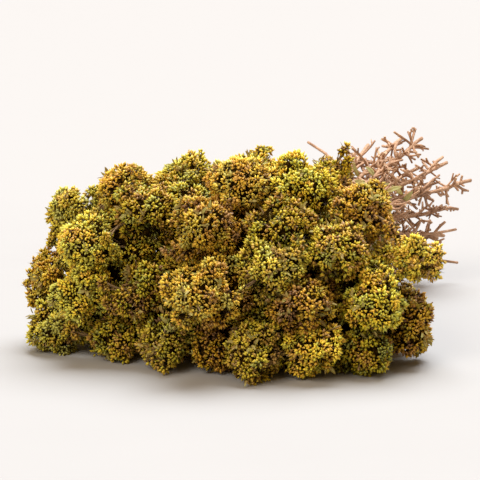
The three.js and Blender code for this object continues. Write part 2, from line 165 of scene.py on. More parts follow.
# Small clusters that stand apart from the heads: across, along, up and radius, mm.
APART = (
    (-121.8, -100, 17.5, 7.5), (-122.5, -104, 9.8, 7), (-128.4, -107, 8.6, 6.8),
    (-122.2, -112, 2.8, 7.5), (-130.6, -113, 1, 7), (-135, -120, -10, 6.4),
    (-133, -118, -3, 6), (-104, -101, 40.5, 6.5), (-101.5, -101, 33.5, 6.5),
    (-115.5, -113, -4.2, 6), (-138.5, -120, -15.5, 5), (36.8, -51, 64.6, 4.4),
    (39.8, -52, 58, 4.8),
)

# Small clusters in the grooves between heads: across, along, up and radius, mm.
BRIDGES = (
    (-68, -131, 45.5, 9.5), (-68.5, -118, 51, 8), (-70, -155.5, 21, 7.5),
    (-82, -158.5, 3.5, 9), (-43, -88, 52, 8.5), (50, -132, 23, 7.5),
    (6, -136.5, 31.5, 7), (13, -166, -2.5, 8), (-68, -161, -3, 6.5),
    (54, -104, 40, 8.5), (-65, -158.5, -15.5, 7), (9, -121, 52, 7),
    (17, -167, -29, 6.5), (-98, -148, -35, 7), (-18, -150, 36, 7),
    (0.5, -123.5, 54.5, 7.5), (-2.7, -132, 45, 7.5), (45.5, -135, 14.5, 6.5),
    (36.5, -151, 0, 6.5), (39, -140.5, 24, 6.5), (-2, -147, 17, 7),
    (52, -153.5, -22, 6.5), (-112.5, -126, 1, 8), (-91, -122, 30, 8),
    (-53.8, -114, 10.6, 10), (-98, -132, -42, 6.5), (80, -100, 28, 6.5),
    (84.5, -98, 15.5, 6), (9.5, -124, -6, 9), (36, -112, 3, 9),
)

# Gaps between the heads that nothing grows into, open to the front: the middle of each one's round
# end, across, along and up, and its radius, mm.
HOLLOWS = (
    (-10.5, -172, -20, 8.5), (-29.5, -151, 30, 7.5), (18, -151, -3.5, 7.5),
    (58, -154, -46, 8.5), (-44, -135.5, 20, 8), (-36.5, -169, -41, 6.5),
    (23.5, -129, 43.5, 7), (-56.5, -155.5, -1, 7), (-43, -166.5, -32, 7),
    (7, -171, -15.5, 5.5), (-75.5, -161.5, -23, 5.5), (12, -150, 18, 5.5),
    (-59.5, -142, 21, 7), (32, -163, -46, 6.5), (-8, -172, 13.5, 4.5),
    (-35, -163, -20.5, 6), (9.5, -166, -47, 6), (78, -117, 10, 5.5),
    (25.5, -68, 58.5, 6.5), (12.5, -158, 3, 5.5), (-19, -175, -14, 5.5),
    (-24, -170, 7, 4.5), (-87, -151, 32, 4.5), (36, -99, 62, 6),
    (60.5, -151, -42, 7), (75, -108, 16, 5.5), (63, -117, 34, 4.5),
    (57.5, -129, 4, 6), (55.5, -147, -14, 5), (-48, -89, 44, 5.5),
    (-22, -178, -2, 4.5), (19, -132.5, 37, 5), (11, -151, 13.5, 5),
    (-50, -141, 24, 6),
)

# Long side stems: the stem, from 0, the distance along at which one leaves it, and where it ends.
LONG_FORKS = {
    3: (92.0, (-43.0, 122.0, 50.0)),
    26: (112.0, (60.5, 146.0, -10.8)),
    27: (118.0, (61.5, 150.0, -35.5)),
}


def draw(a: float, b: float) -> float:
    """A fixed draw between 0 and 1 for a pair of numbers: the fraction of a large sine."""
    x = math.sin(a * 12.9898 + b * 78.233) * 43758.5453
    return x - math.floor(x)


def unit(v: Array) -> Array:
    """Vectors of length 1 along the last axis."""
    return v / np.maximum(np.linalg.norm(v, axis=-1, keepdims=True), 1e-9)


def beside(facing: Array) -> tuple[Array, Array]:
    """Two directions square to each facing direction.

    Args:
        facing: directions of length 1, (..., 3).

    Returns:
        The level direction (the vertical crossed with facing) and the one that completes the frame.
    """
    side = unit(np.cross(np.array([1e-4, 0.0, 1.0]), facing))
    return side, np.cross(facing, side)


def tilted(facing: Array, polar: Array, turn: Array) -> Array:
    """Directions at an angle to a facing direction.

    facing cos(polar) + (side cos(turn) + up sin(turn)) sin(polar), angles in radians.

    Args:
        facing: directions of length 1, (..., 3).
        polar: angles away from facing, (...).
        turn: angles round facing, (...).

    Returns:
        The directions, (..., 3).
    """
    side, up = beside(facing)
    polar, turn = np.asarray(polar)[..., None], np.asarray(turn)[..., None]
    return facing * np.cos(polar) + (side * np.cos(turn) + up * np.sin(turn)) * np.sin(polar)


def bezier(start: Array, pull: Array, end: Array, count: int) -> Array:
    """Paths from start to end that set out towards pull: (1-t)^2 start + 2t(1-t) pull + t^2 end.

    Args:
        start: first points, (k, 3).
        pull: the points that bend the paths, (k, 3).
        end: last points, (k, 3).
        count: points on each path.

    Returns:
        The paths, (k, count, 3).
    """
    t = np.linspace(0, 1, count)[None, :, None]
    return (1 - t) ** 2 * start[:, None] + 2 * t * (1 - t) * pull[:, None] + t**2 * end[:, None]


def spaced(points: Array, gap: float, rank: Array) -> Array:
    """Picks points so that no two are nearer than a gap, and no room for another is left.

    In each round, every free point that outranks all free points near it is picked, and its
    neighbours are dropped.

    Args:
        points: (n, 3).
        gap: the least distance between two picked ones.
        rank: a different number for each point, (n,).

    Returns:
        Which points are picked, (n,).
    """
    flat = points.astype(np.float32)
    near = ((flat[:, None] - flat[None]) ** 2).sum(axis=-1) < gap**2
    np.fill_diagonal(near, False)
    free, picked = np.ones(len(points), bool), np.zeros(len(points), bool)
    while free.any():
        rival = np.where(near & free[None], rank[None], -1.0).max(axis=1)
        chosen = free & (rank > rival)
        picked |= chosen
        free &= ~chosen & ~near[:, chosen].any(axis=1)
    return picked


def linked(name: str, data: bpy.types.ID) -> Piece:
    """A new object in the scene, for a mesh, a light or a camera."""
    made = bpy.data.objects.new(name, data)
    bpy.context.scene.collection.objects.link(made)
    return made


# Shells: points, faces and the values that the materials read


@dataclass
class Shell:
    """Closed surfaces as points in mm, faces of three or more corners, and a value set per point.

    Attributes:
        points: (n, 3).
        corners: the faces' corners one after another.
        sizes: how many corners each face has.
        flat: which faces are shaded flat.
        values: named point values, (n,) for numbers or (n, 3) for vectors.
    """

    points: Array
    corners: Array
    sizes: Array
    flat: Array
    values: dict[str, Array] = field(default_factory=dict)

    @staticmethod
    def joined(shells: list["Shell"]) -> "Shell":
        """One shell of several that carry the same values."""
        starts = np.cumsum([0] + [len(s.points) for s in shells[:-1]])
        return Shell(
            np.concatenate([s.points for s in shells]),
            np.concatenate([s.corners + start for s, start in zip(shells, starts)]),
            np.concatenate([s.sizes for s in shells]),
            np.concatenate([s.flat for s in shells]),
            {k: np.concatenate([s.values[k] for s in shells]) for k in shells[0].values},
        )

    @staticmethod
    def of_triangles(points: Array, triangles: Array) -> "Shell":
        """A smooth shell of triangles, (t, 3), with no values yet."""
        count = len(triangles)
        return Shell(points, triangles.ravel(), np.full(count, 3), np.zeros(count, bool))

    @property
    def triangles(self) -> int:
        """How many triangles the faces come to."""
        return int((self.sizes - 2).sum())

    def to_object(self, name: str, shift: Array, material: Material) -> Piece:
        """The shell as an object of the scene, at the origin, with its place in its mesh.

        Args:
            name: the piece's name.
            shift: what is added to move the tie's middle into the frame, mm.
            material: the piece's finish.

        Returns:
            The object, linked to the scene.
        """
        mesh = bpy.data.meshes.new(name)
        mesh.vertices.add(len(self.points))
        mesh.vertices.foreach_set("co", ((self.points + shift) * 0.001).astype(np.float32).ravel())
        mesh.loops.add(len(self.corners))
        mesh.loops.foreach_set("vertex_index", self.corners.astype(np.int32))
        mesh.polygons.add(len(self.sizes))
        starts = np.concatenate([[0], np.cumsum(self.sizes)[:-1]])
        mesh.polygons.foreach_set("loop_start", starts.astype(np.int32))
        mesh.polygons.foreach_set("loop_total", self.sizes.astype(np.int32))
        mesh.update(calc_edges=True)
        mesh.polygons.foreach_set("use_smooth", ~self.flat)
        for key, value in self.values.items():
            kind, stored = ("FLOAT", "value") if value.ndim == 1 else ("FLOAT_VECTOR", "vector")
            attribute = mesh.attributes.new(key, kind, "POINT")
            attribute.data.foreach_set(stored, value.astype(np.float32).ravel())
        mesh.materials.append(material)
        mesh.validate()
        return linked(name, mesh)


def repeated(template: Array, triangles: Array, frames: tuple[Array, ...]) -> Shell:
    """One small closed shape set at many places.

    A point (x, y, z) of the shape goes to origin + x across + y out + z along.

    Args:
        template: the shape's points at each place, (k, m, 3) or (m, 3).
        triangles: its triangles, (t, 3), facing out.
        frames: the origins and the directions across, out and along, each (k, 3).

    Returns:
        All the shapes as one shell, with no values yet.
    """
    origin, across, out, along = frames
    shape = np.broadcast_to(template, (len(origin), *template.shape[-2:]))
    points = origin[:, None] + shape[..., :1] * across[:, None]
    points = points + shape[..., 1:2] * out[:, None] + shape[..., 2:] * along[:, None]
    starts = shape.shape[1] * np.arange(len(origin))[:, None, None]
    return Shell.of_triangles(points.reshape(-1, 3), (triangles[None] + starts).reshape(-1, 3))


def closed_faces(rings: int, sides: int, crossed: Array | bool = False) -> Array:
    """The triangles of a closed surface: a first point, rings of points, and a last point.

    Args:
        rings: how many rings there are.
        sides: points on each ring.
        crossed: which sides have their quads cut along the other diagonal, (sides,) or one for all.

    Returns:
        Triangles, (t, 3), that face out where the rings run anticlockwise seen from the first point.
    """
    here = np.arange(sides)
    there = (here + 1) % sides
    ring = (1 + sides * np.arange(rings - 1))[:, None]
    a, b = (ring + here).ravel(), (ring + there).ravel()
    c, d = a + sides, b + sides
    cut = np.tile(np.broadcast_to(crossed, sides), rings - 1)
    last = 1 + (rings - 1) * sides
    return np.concatenate(
        [
            np.stack([0 * here, here + 1, there + 1], 1),
            np.stack([a, c, np.where(cut, b, d)], 1),
            np.stack([np.where(cut, c, a), d, b], 1),
            np.stack([0 * here + last + sides, there + last, here + last], 1),
        ]
    )


def tubes(paths: Array, radii: Array, sides: int, furrow: float = 0.0, seed: int = 0) -> Shell:
    """Round twigs along paths, with bevelled ends that are closed by a flat face.

    Ring point (s, turn) = path(s) + radius(s) (1 + furrow wave(s, turn)) (a cos turn + b sin turn),
    with a and b square to the path, and wave = cos(3 turn + 0.35 s) + 0.6 cos(2 turn - 0.22 s + 2).
    The values are grain, (radius cos turn, radius sin turn, the length so far), which runs along the
    twig, and end, which is 1 on the closing faces.

    Args:
        paths: the middles of the rings, (k, m, 3).
        radii: their radii, (k, m).
        sides: points on a ring.
        furrow: how much of its radius a ring gains and loses round it.
        seed: of the furrows.

    Returns:
        The twigs as one shell with the values grain and end.
    """
    bevel_depth, bevel_radius = 0.22, 0.74  # as shares of the radius at that end
    rng = np.random.default_rng(seed)
    k = len(paths)
    tangent = unit(np.gradient(paths, axis=1))
    bevel = bevel_depth * radii[:, [0, -1], None]
    lead = paths[:, :1] - bevel[:, :1] * tangent[:, :1]
    tail = paths[:, -1:] + bevel[:, 1:] * tangent[:, -1:]
    paths = np.concatenate([lead, paths, tail], axis=1)
    tangent = np.concatenate([tangent[:, :1], tangent, tangent[:, -1:]], axis=1)
    radii = np.concatenate([bevel_radius * radii[:, :1], radii, bevel_radius * radii[:, -1:]], axis=1)
    m = paths.shape[1]
    chord = unit(paths[:, -1] - paths[:, 0])
    steep = np.abs(chord[:, 2:]) > 0.75
    guide = np.where(steep, np.array([[1.0, 0.0, 0.0]]), np.array([[0.0, 0.0, 1.0]]))[:, None]
    a = unit(np.cross(guide, tangent))
    b = np.cross(tangent, a)
    turn = 2 * np.pi * np.arange(sides) / sides + rng.uniform(0, ROUND, (k, 1, 1))
    gone = np.linalg.norm(np.diff(paths, axis=1), axis=2).cumsum(axis=1)
    length = np.concatenate([np.zeros((k, 1)), gone], axis=1)[..., None]
    wave = np.cos(3 * turn + 0.35 * length) + 0.6 * np.cos(2 * turn - 0.22 * length + 2)
    round_radius = radii[..., None] * (1 + furrow * wave)
    x, y = round_radius * np.cos(turn), round_radius * np.sin(turn)
    points = paths[:, :, None] + x[..., None] * a[:, :, None] + y[..., None] * b[:, :, None]
    shifted = length + rng.uniform(0, 400, (k, 1))[..., None]
    grain = np.stack([x, y, np.broadcast_to(shifted, x.shape)], axis=-1)
    end = np.zeros((k, m, sides))
    end[:, [0, -1]] = 1
    ring, here = np.meshgrid(np.arange(m - 1) * sides, np.arange(sides), indexing="ij")
    there = (here + 1) % sides
    quads = np.stack([ring + here, ring + there, ring + sides + there, ring + sides + here], -1)
    starts = (m * sides * np.arange(k))[:, None]
    walls = (quads.reshape(1, -1) + starts).ravel()
    caps = np.concatenate([np.arange(sides)[::-1], (m - 1) * sides + np.arange(sides)])
    caps = (caps[None] + starts).ravel()
    wall_count, cap_count = k * (m - 1) * sides, 2 * k
    return Shell(
        points.reshape(-1, 3),
        np.concatenate([walls, caps]),
        np.concatenate([np.full(wall_count, 4), np.full(cap_count, sides)]),
        np.concatenate([np.zeros(wall_count, bool), np.ones(cap_count, bool)]),
        {"grain": grain.reshape(-1, 3), "end": end.reshape(-1)},
    )


# Finishes


def linear(red: int, green: int, blue: int) -> tuple[float, float, float, float]:
    """A colour given in display values of 0 to 255, as the linear values that shaders take."""
    share = np.array([red, green, blue]) / 255
    value = np.where(share <= 0.04045, share / 12.92, ((share + 0.055) / 1.055) ** 2.4)
    return (*(float(v) for v in value), 1.0)


def shades(*colours: tuple[int, int, int]) -> tuple[tuple[float, ...], ...]:
    """Several colours given in display values of 0 to 255, as linear ones."""
    return tuple(linear(*colour) for colour in colours)


class Graph:
    """A new material's nodes, made and joined one at a time."""

    def __init__(self, name: str) -> None:
        """Makes the material with its Principled shader.

        Args:
            name: the material's name.
        """
        self.material = bpy.data.materials.new(name)
        self.material.use_nodes = True
        self.nodes = self.material.node_tree.nodes
        self.shader = self.nodes["Principled BSDF"]

    def add(self, kind: str, **settings: object) -> bpy.types.Node:
        """A new node with its properties set, such as add("ShaderNodeMath", operation="ADD")."""
        node = self.nodes.new(kind)
        for key, value in settings.items():
            setattr(node, key, value)
        return node

    def feed(self, value: object, socket: Socket) -> None:
        """Gives a socket what another socket gives out, or a fixed value."""
        if isinstance(value, Socket):
            self.material.node_tree.links.new(value, socket)
        else:
            socket.default_value = value

    def dress(self, colour: Socket, roughness: object, specular: float) -> None:
        """Gives the shader its colour, its roughness, a socket or a fixed value, and its gloss."""
        self.feed(colour, self.shader.inputs["Base Color"])
        self.feed(roughness, self.shader.inputs["Roughness"])
        self.shader.inputs["Specular IOR Level"].default_value = specular

    def value(self, name: str) -> Socket:
        """The number that the mesh keeps under a name."""
        return self.add("ShaderNodeAttribute", attribute_name=name).outputs["Fac"]

    def vector(self, name: str) -> Socket:
        """The vector that the mesh keeps under a name."""
        return self.add("ShaderNodeAttribute", attribute_name=name).outputs["Vector"]

    def place(self) -> Socket:
        """The place on the object, in metres."""
        return self.add("ShaderNodeTexCoord").outputs["Object"]

    def noise(
        self, where: Socket, scale: float, detail: float, stretch: tuple[float, ...] = (1, 1, 1)
    ) -> Socket:
        """Soft noise between 0 and 1.

        Args:
            where: the coordinates to read.
            scale: waves in one unit of them.
            detail: finer layers.
            stretch: the scale in each direction.

        Returns:
            The noise's value socket.
        """
        mapping = self.add("ShaderNodeMapping")
        mapping.inputs["Scale"].default_value = stretch
        self.feed(where, mapping.inputs["Vector"])
        made = self.add("ShaderNodeTexNoise")
        made.inputs["Scale"].default_value = scale
        made.inputs["Detail"].default_value = detail
        self.feed(mapping.outputs["Vector"], made.inputs["Vector"])
        return made.outputs["Fac"]

    def math(self, operation: str, a: object, b: object, clamp: bool = False) -> Socket:
        """One sum of two numbers, each a socket or a fixed value."""
        node = self.add("ShaderNodeMath", operation=operation, use_clamp=clamp)
        for socket, value in zip(node.inputs, (a, b)):
            self.feed(value, socket)
        return node.outputs[0]

    def ramp(self, at: Socket, stops: tuple[tuple[float, tuple], ...]) -> Socket:
        """A colour that runs through stops of (place, colour) as a value goes from 0 to 1."""
        node = self.add("ShaderNodeValToRGB")
        elements = node.color_ramp.elements
        while len(elements) < len(stops):
            elements.new(0.5)
        for element, (position, colour) in zip(elements, stops):
            element.position = position
            element.color = colour
        self.feed(at, node.inputs["Fac"])
        return node.outputs["Color"]

    def mix(self, share: object, first: object, second: object, blend: str = "MIX") -> Socket:
        """A mix of two colours, each a socket or a fixed colour, by a share."""
        node = self.add("ShaderNodeMix", data_type="RGBA", blend_type=blend)
        factor, colour_a, colour_b = (node.inputs[index] for index in (0, 6, 7))
        for socket, value in ((factor, share), (colour_a, first), (colour_b, second)):
            self.feed(value, socket)
        return node.outputs[2]

    def bump(self, height: Socket, distance: float, strength: float = 1.0) -> None:
        """Relief on the shader from a height between 0 and 1, with its full depth in metres."""
        node = self.add("ShaderNodeBump")
        node.inputs["Distance"].default_value = distance
        node.inputs["Strength"].default_value = strength
        self.feed(height, node.inputs["Height"])
        self.feed(node.outputs["Normal"], self.shader.inputs["Normal"])

    def range(self, value: Socket, low: float, high: float) -> Socket:
        """A value between 0 and 1 carried over to a range."""
        node = self.add("ShaderNodeMapRange")
        node.inputs["To Min"].default_value = low
        node.inputs["To Max"].default_value = high
        self.feed(value, node.inputs["Value"])
        return node.outputs[0]


@dataclass(frozen=True)
class FlowerFinish:
    """Dry bracts: a run of colours from green to brown that each bract has its own place in.

    Attributes:
        name: the material's name.
        base: colour at a bract's foot and inside the tufts.
        run: the colours of the bracts' backs, from the greenest to the brownest.
        tips: the colours of the bracts' points, in the same order.
        straw: what bleached bracts run towards.
        specks: the tints of the fine speckle, as stops of a ramp.
        fresh: how light a bract is at a faded of 0, as a share of its colour.
        fade_and_shade_gain: what that gains for each 1 of faded; below 0 it darkens a bract as painted
            shade.
        straw_share: how far a bract is drawn towards straw for each 1 of faded.
    """

    name: str
    base: tuple
    run: tuple[tuple, ...]
    tips: tuple[tuple, ...]
    straw: tuple = (0.76, 0.61, 0.18, 1.0)
    specks: tuple = (
        (0.3, (0.54, 0.49, 0.32, 1)),
        (0.52, (1.02, 1.0, 0.84, 1)),
        (0.75, (1.25, 1.23, 1.02, 1)),
    )
    fresh: float = 0.79
    fade_and_shade_gain: float = 0.43
    straw_share: float = 0.16

    def material(self) -> Material:
        """Colour by the bract's own hue, darker at the foot and paler at the point, speckled, then
        lightened and drawn towards straw by faded, and darkened where that is below 0, as painted shade."""
        graph = Graph(self.name)
        patches = graph.range(graph.noise(graph.place(), 38, 1.0), -0.2, 0.2)
        hue = graph.math("ADD", graph.value("hue"), patches, clamp=True)
        spread = np.linspace(0.02, 0.98, len(self.run)).tolist()
        back = graph.ramp(hue, tuple(zip(spread, self.run)))
        point = graph.ramp(hue, tuple(zip(spread, self.tips)))
        # the tip value runs from a bract's foot to its point; on deep spikelets it is cut down as painted
        # shade, which draws them to the dark foot colour
        tip = graph.value("tip")
        lower = graph.ramp(tip, ((0.05, BLACK), (0.5, WHITE)))
        upper = graph.ramp(tip, ((0.5, BLACK), (0.95, WHITE)))
        colour = graph.mix(upper, graph.mix(lower, self.base, back), point)
        speckle = graph.noise(graph.place(), 1500, 3.0)
        colour = graph.mix(0.8, colour, graph.ramp(speckle, self.specks), "MULTIPLY")
        # faded lightens bleached bracts, and below 0 it darkens them as painted shade
        faded = graph.value("faded")
        pale = graph.math("ADD", graph.math("MULTIPLY", faded, self.fade_and_shade_gain), self.fresh)
        colour = graph.mix(1.0, colour, pale, "MULTIPLY")
        strawed = graph.math("MULTIPLY", faded, self.straw_share, clamp=True)
        colour = graph.mix(strawed, colour, self.straw)
        graph.dress(colour, graph.range(speckle, 0.42, 0.65), 0.4)
        graph.bump(graph.noise(graph.place(), 2600, 2.0), 0.0002, 0.5)
        return graph.material


@dataclass(frozen=True)
class PackedInsideAndShadeFinish:
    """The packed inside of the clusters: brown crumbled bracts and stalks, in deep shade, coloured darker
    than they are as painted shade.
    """

    name: str
    dark: tuple
    light: tuple

    def material(self) -> Material:
        """Dark dull cells about as wide as bracts, with rough relief; the darkness is painted shade on top
        of the brown of crumbled bracts.
        """
        graph = Graph(self.name)
        cells = graph.add("ShaderNodeTexVoronoi")
        cells.inputs["Scale"].default_value = 520
        graph.feed(graph.place(), cells.inputs["Vector"])
        graph.dress(graph.ramp(cells.outputs["Distance"], ((0.1, self.light), (0.6, self.dark))), 1.0, 0.0)
        graph.bump(cells.outputs["Distance"], 0.002, 1.0)
        return graph.material


@dataclass(frozen=True)
class WoodFinish:
    """Dry woody bark with furrows along the twig and paler wood at cut ends."""

    name: str
    dark: tuple
    bark: tuple
    worn: tuple
    wood: tuple

    def material(self) -> Material:
        """Bark drawn out along the grain value, worn pale on its ridges."""
        graph = Graph(self.name)
        grain = graph.vector("grain")
        streak = graph.noise(grain, 3.2, 3.0, (1, 1, 0.10))
        fine = graph.noise(grain, 9.0, 2.0, (1, 1, 0.14))
        patch = graph.noise(graph.place(), 90, 2.0)
        both = graph.math("ADD", graph.math("MULTIPLY", streak, 0.55), graph.math("MULTIPLY", patch, 0.45))
        stops = ((0.34, self.dark), (0.5, self.bark), (0.66, self.worn))
        colour = graph.mix(graph.value("end"), graph.ramp(both, stops), self.wood)
        graph.dress(colour, graph.range(fine, 0.7, 0.95), 0.3)
        relief = graph.math("ADD", graph.math("MULTIPLY", streak, 0.65), graph.math("MULTIPLY", fine, 0.35))
        graph.bump(relief, 0.0006, 0.8)
        return graph.material


@dataclass(frozen=True)
class LeafFinish:
    """Small dried leaves: pale grey green with a paler midrib and browned edges."""

    name: str
    blade: tuple
    dry: tuple
    rib: tuple

    def material(self) -> Material:
        """Colour by the place across the blade (rim) and patches of drier brown."""
        graph = Graph(self.name)
        patch = graph.noise(graph.place(), 260, 3.0)
        blade = graph.ramp(patch, ((0.38, self.blade), (0.66, self.dry)))
        rim = graph.value("rim")
        edge = graph.ramp(rim, ((0.0, self.rib), (0.16, self.blade), (0.8, (0.5, 0.5, 0.5, 1))))
        near_rib = graph.ramp(rim, ((0.04, WHITE), (0.2, BLACK)))
        colour = graph.mix(near_rib, blade, edge)
        browned = graph.math("MULTIPLY", graph.math("GREATER_THAN", rim, 0.85), graph.range(patch, 0, 0.8))
        graph.dress(graph.mix(browned, colour, self.dry), graph.range(patch, 0.6, 0.85), 0.35)
        graph.bump(graph.noise(graph.place(), 1400, 3.0), 0.0003, 0.7)
        return graph.material


@dataclass(frozen=True)
class TwineFinish:
    """Thin natural twine: short pale and dark fibres laid along each ply."""

    name: str
    dark: tuple
    light: tuple

    def material(self) -> Material:
        """Fibres drawn out along the grain value of each ply."""
        graph = Graph(self.name)
        grain = graph.vector("grain")
        fibre = graph.noise(grain, 14.0, 3.0, (1, 1, 0.12))
        colour = graph.ramp(fibre, ((0.35, self.dark), (0.62, self.light)))
        graph.dress(colour, 0.95, 0.5)
        graph.shader.inputs["Sheen Weight"].default_value = 0.15
        graph.bump(fibre, 0.0003, 1.0)
        return graph.material


@dataclass(frozen=True)
class SurfaceFinish:
    """The plain pale surface under the bunch, and what it fades to between two distances behind it."""

    name: str
    near: tuple
    far: tuple
    starts: float = 0.18
    ends: float = 0.45

    def material(self) -> Material:
        """Faint mottling on a pale ground, which is plain far behind the bunch."""
        graph = Graph(self.name)
        place = graph.place()
        mottle = graph.noise(place, 14, 4.0)
        tint = graph.ramp(mottle, ((0.3, (0.985, 0.985, 0.985, 1)), (0.7, WHITE)))
        colour = graph.mix(1.0, self.near, tint, "MULTIPLY")
        split = graph.add("ShaderNodeSeparateXYZ")
        graph.feed(place, split.inputs[0])
        behind = graph.add("ShaderNodeMapRange")
        behind.inputs["From Min"].default_value = self.starts
        behind.inputs["From Max"].default_value = self.ends
        graph.feed(split.outputs["Y"], behind.inputs["Value"])
        graph.dress(graph.mix(behind.outputs[0], colour, self.far), 0.9, 0.1)
        return graph.material


FLOWER_FINISHES = {
    GOLDEN: FlowerFinish(
        "bracts_golden",
        linear(88, 60, 18),
        shades((152, 158, 44), (196, 184, 14), (228, 188, 14), (206, 154, 38), (142, 100, 60)),
        shades((212, 214, 104), (244, 230, 48), (254, 226, 56), (236, 196, 78), (190, 142, 90)),
    ),
    OLIVE: FlowerFinish(
        "bracts_olive",
        linear(82, 60, 20),
        shades((134, 140, 54), (172, 166, 18), (208, 178, 18), (188, 138, 40), (134, 96, 60)),
        shades((198, 202, 116), (230, 220, 54), (248, 220, 58), (226, 184, 80), (182, 136, 90)),
    ),
    RUSSET: FlowerFinish(
        "bracts_russet",
        linear(84, 54, 20),
        shades((146, 138, 46), (190, 164, 20), (216, 166, 20), (180, 126, 42), (128, 88, 60)),
        shades((208, 194, 98), (238, 208, 54), (250, 206, 56), (218, 168, 80), (176, 126, 88)),
    ),
    GREEN: FlowerFinish(
        "bracts_green",
        linear(78, 60, 22),
        shades((140, 144, 66), (168, 164, 30), (200, 178, 22), (186, 146, 42), (134, 100, 64)),
        shades((204, 206, 130), (222, 216, 74), (242, 218, 62), (218, 184, 84), (180, 138, 96)),
    ),
}
PLAIN_FINISHES = {
    # the packed inside is coloured darker than crumbled bracts are: painted shade in the gaps between
    # spikelets
    "inside": PackedInsideAndShadeFinish("packed_inside", *shades((40, 28, 8), (82, 60, 20))),
    "wood": WoodFinish("bark", *shades((118, 86, 64), (188, 147, 115), (224, 188, 156), (236, 208, 174))),
    "stalk": WoodFinish("stalk", *shades((84, 62, 36), (134, 108, 72), (166, 140, 100), (196, 172, 130))),
    "leaf": LeafFinish("dried_leaf", *shades((178, 178, 116), (170, 148, 90), (208, 202, 148))),
    "small leaf": LeafFinish("small_leaf", *shades((164, 158, 84), (150, 116, 62), (204, 194, 124))),
    "twine": TwineFinish("twine_fibre", *shades((118, 92, 58), (196, 168, 122))),
}
PALE_SURFACE = SurfaceFinish("pale_surface", *shades((171, 170, 169), (172, 171, 170)))


# The bunch: where each stem runs, and the room that belongs to it


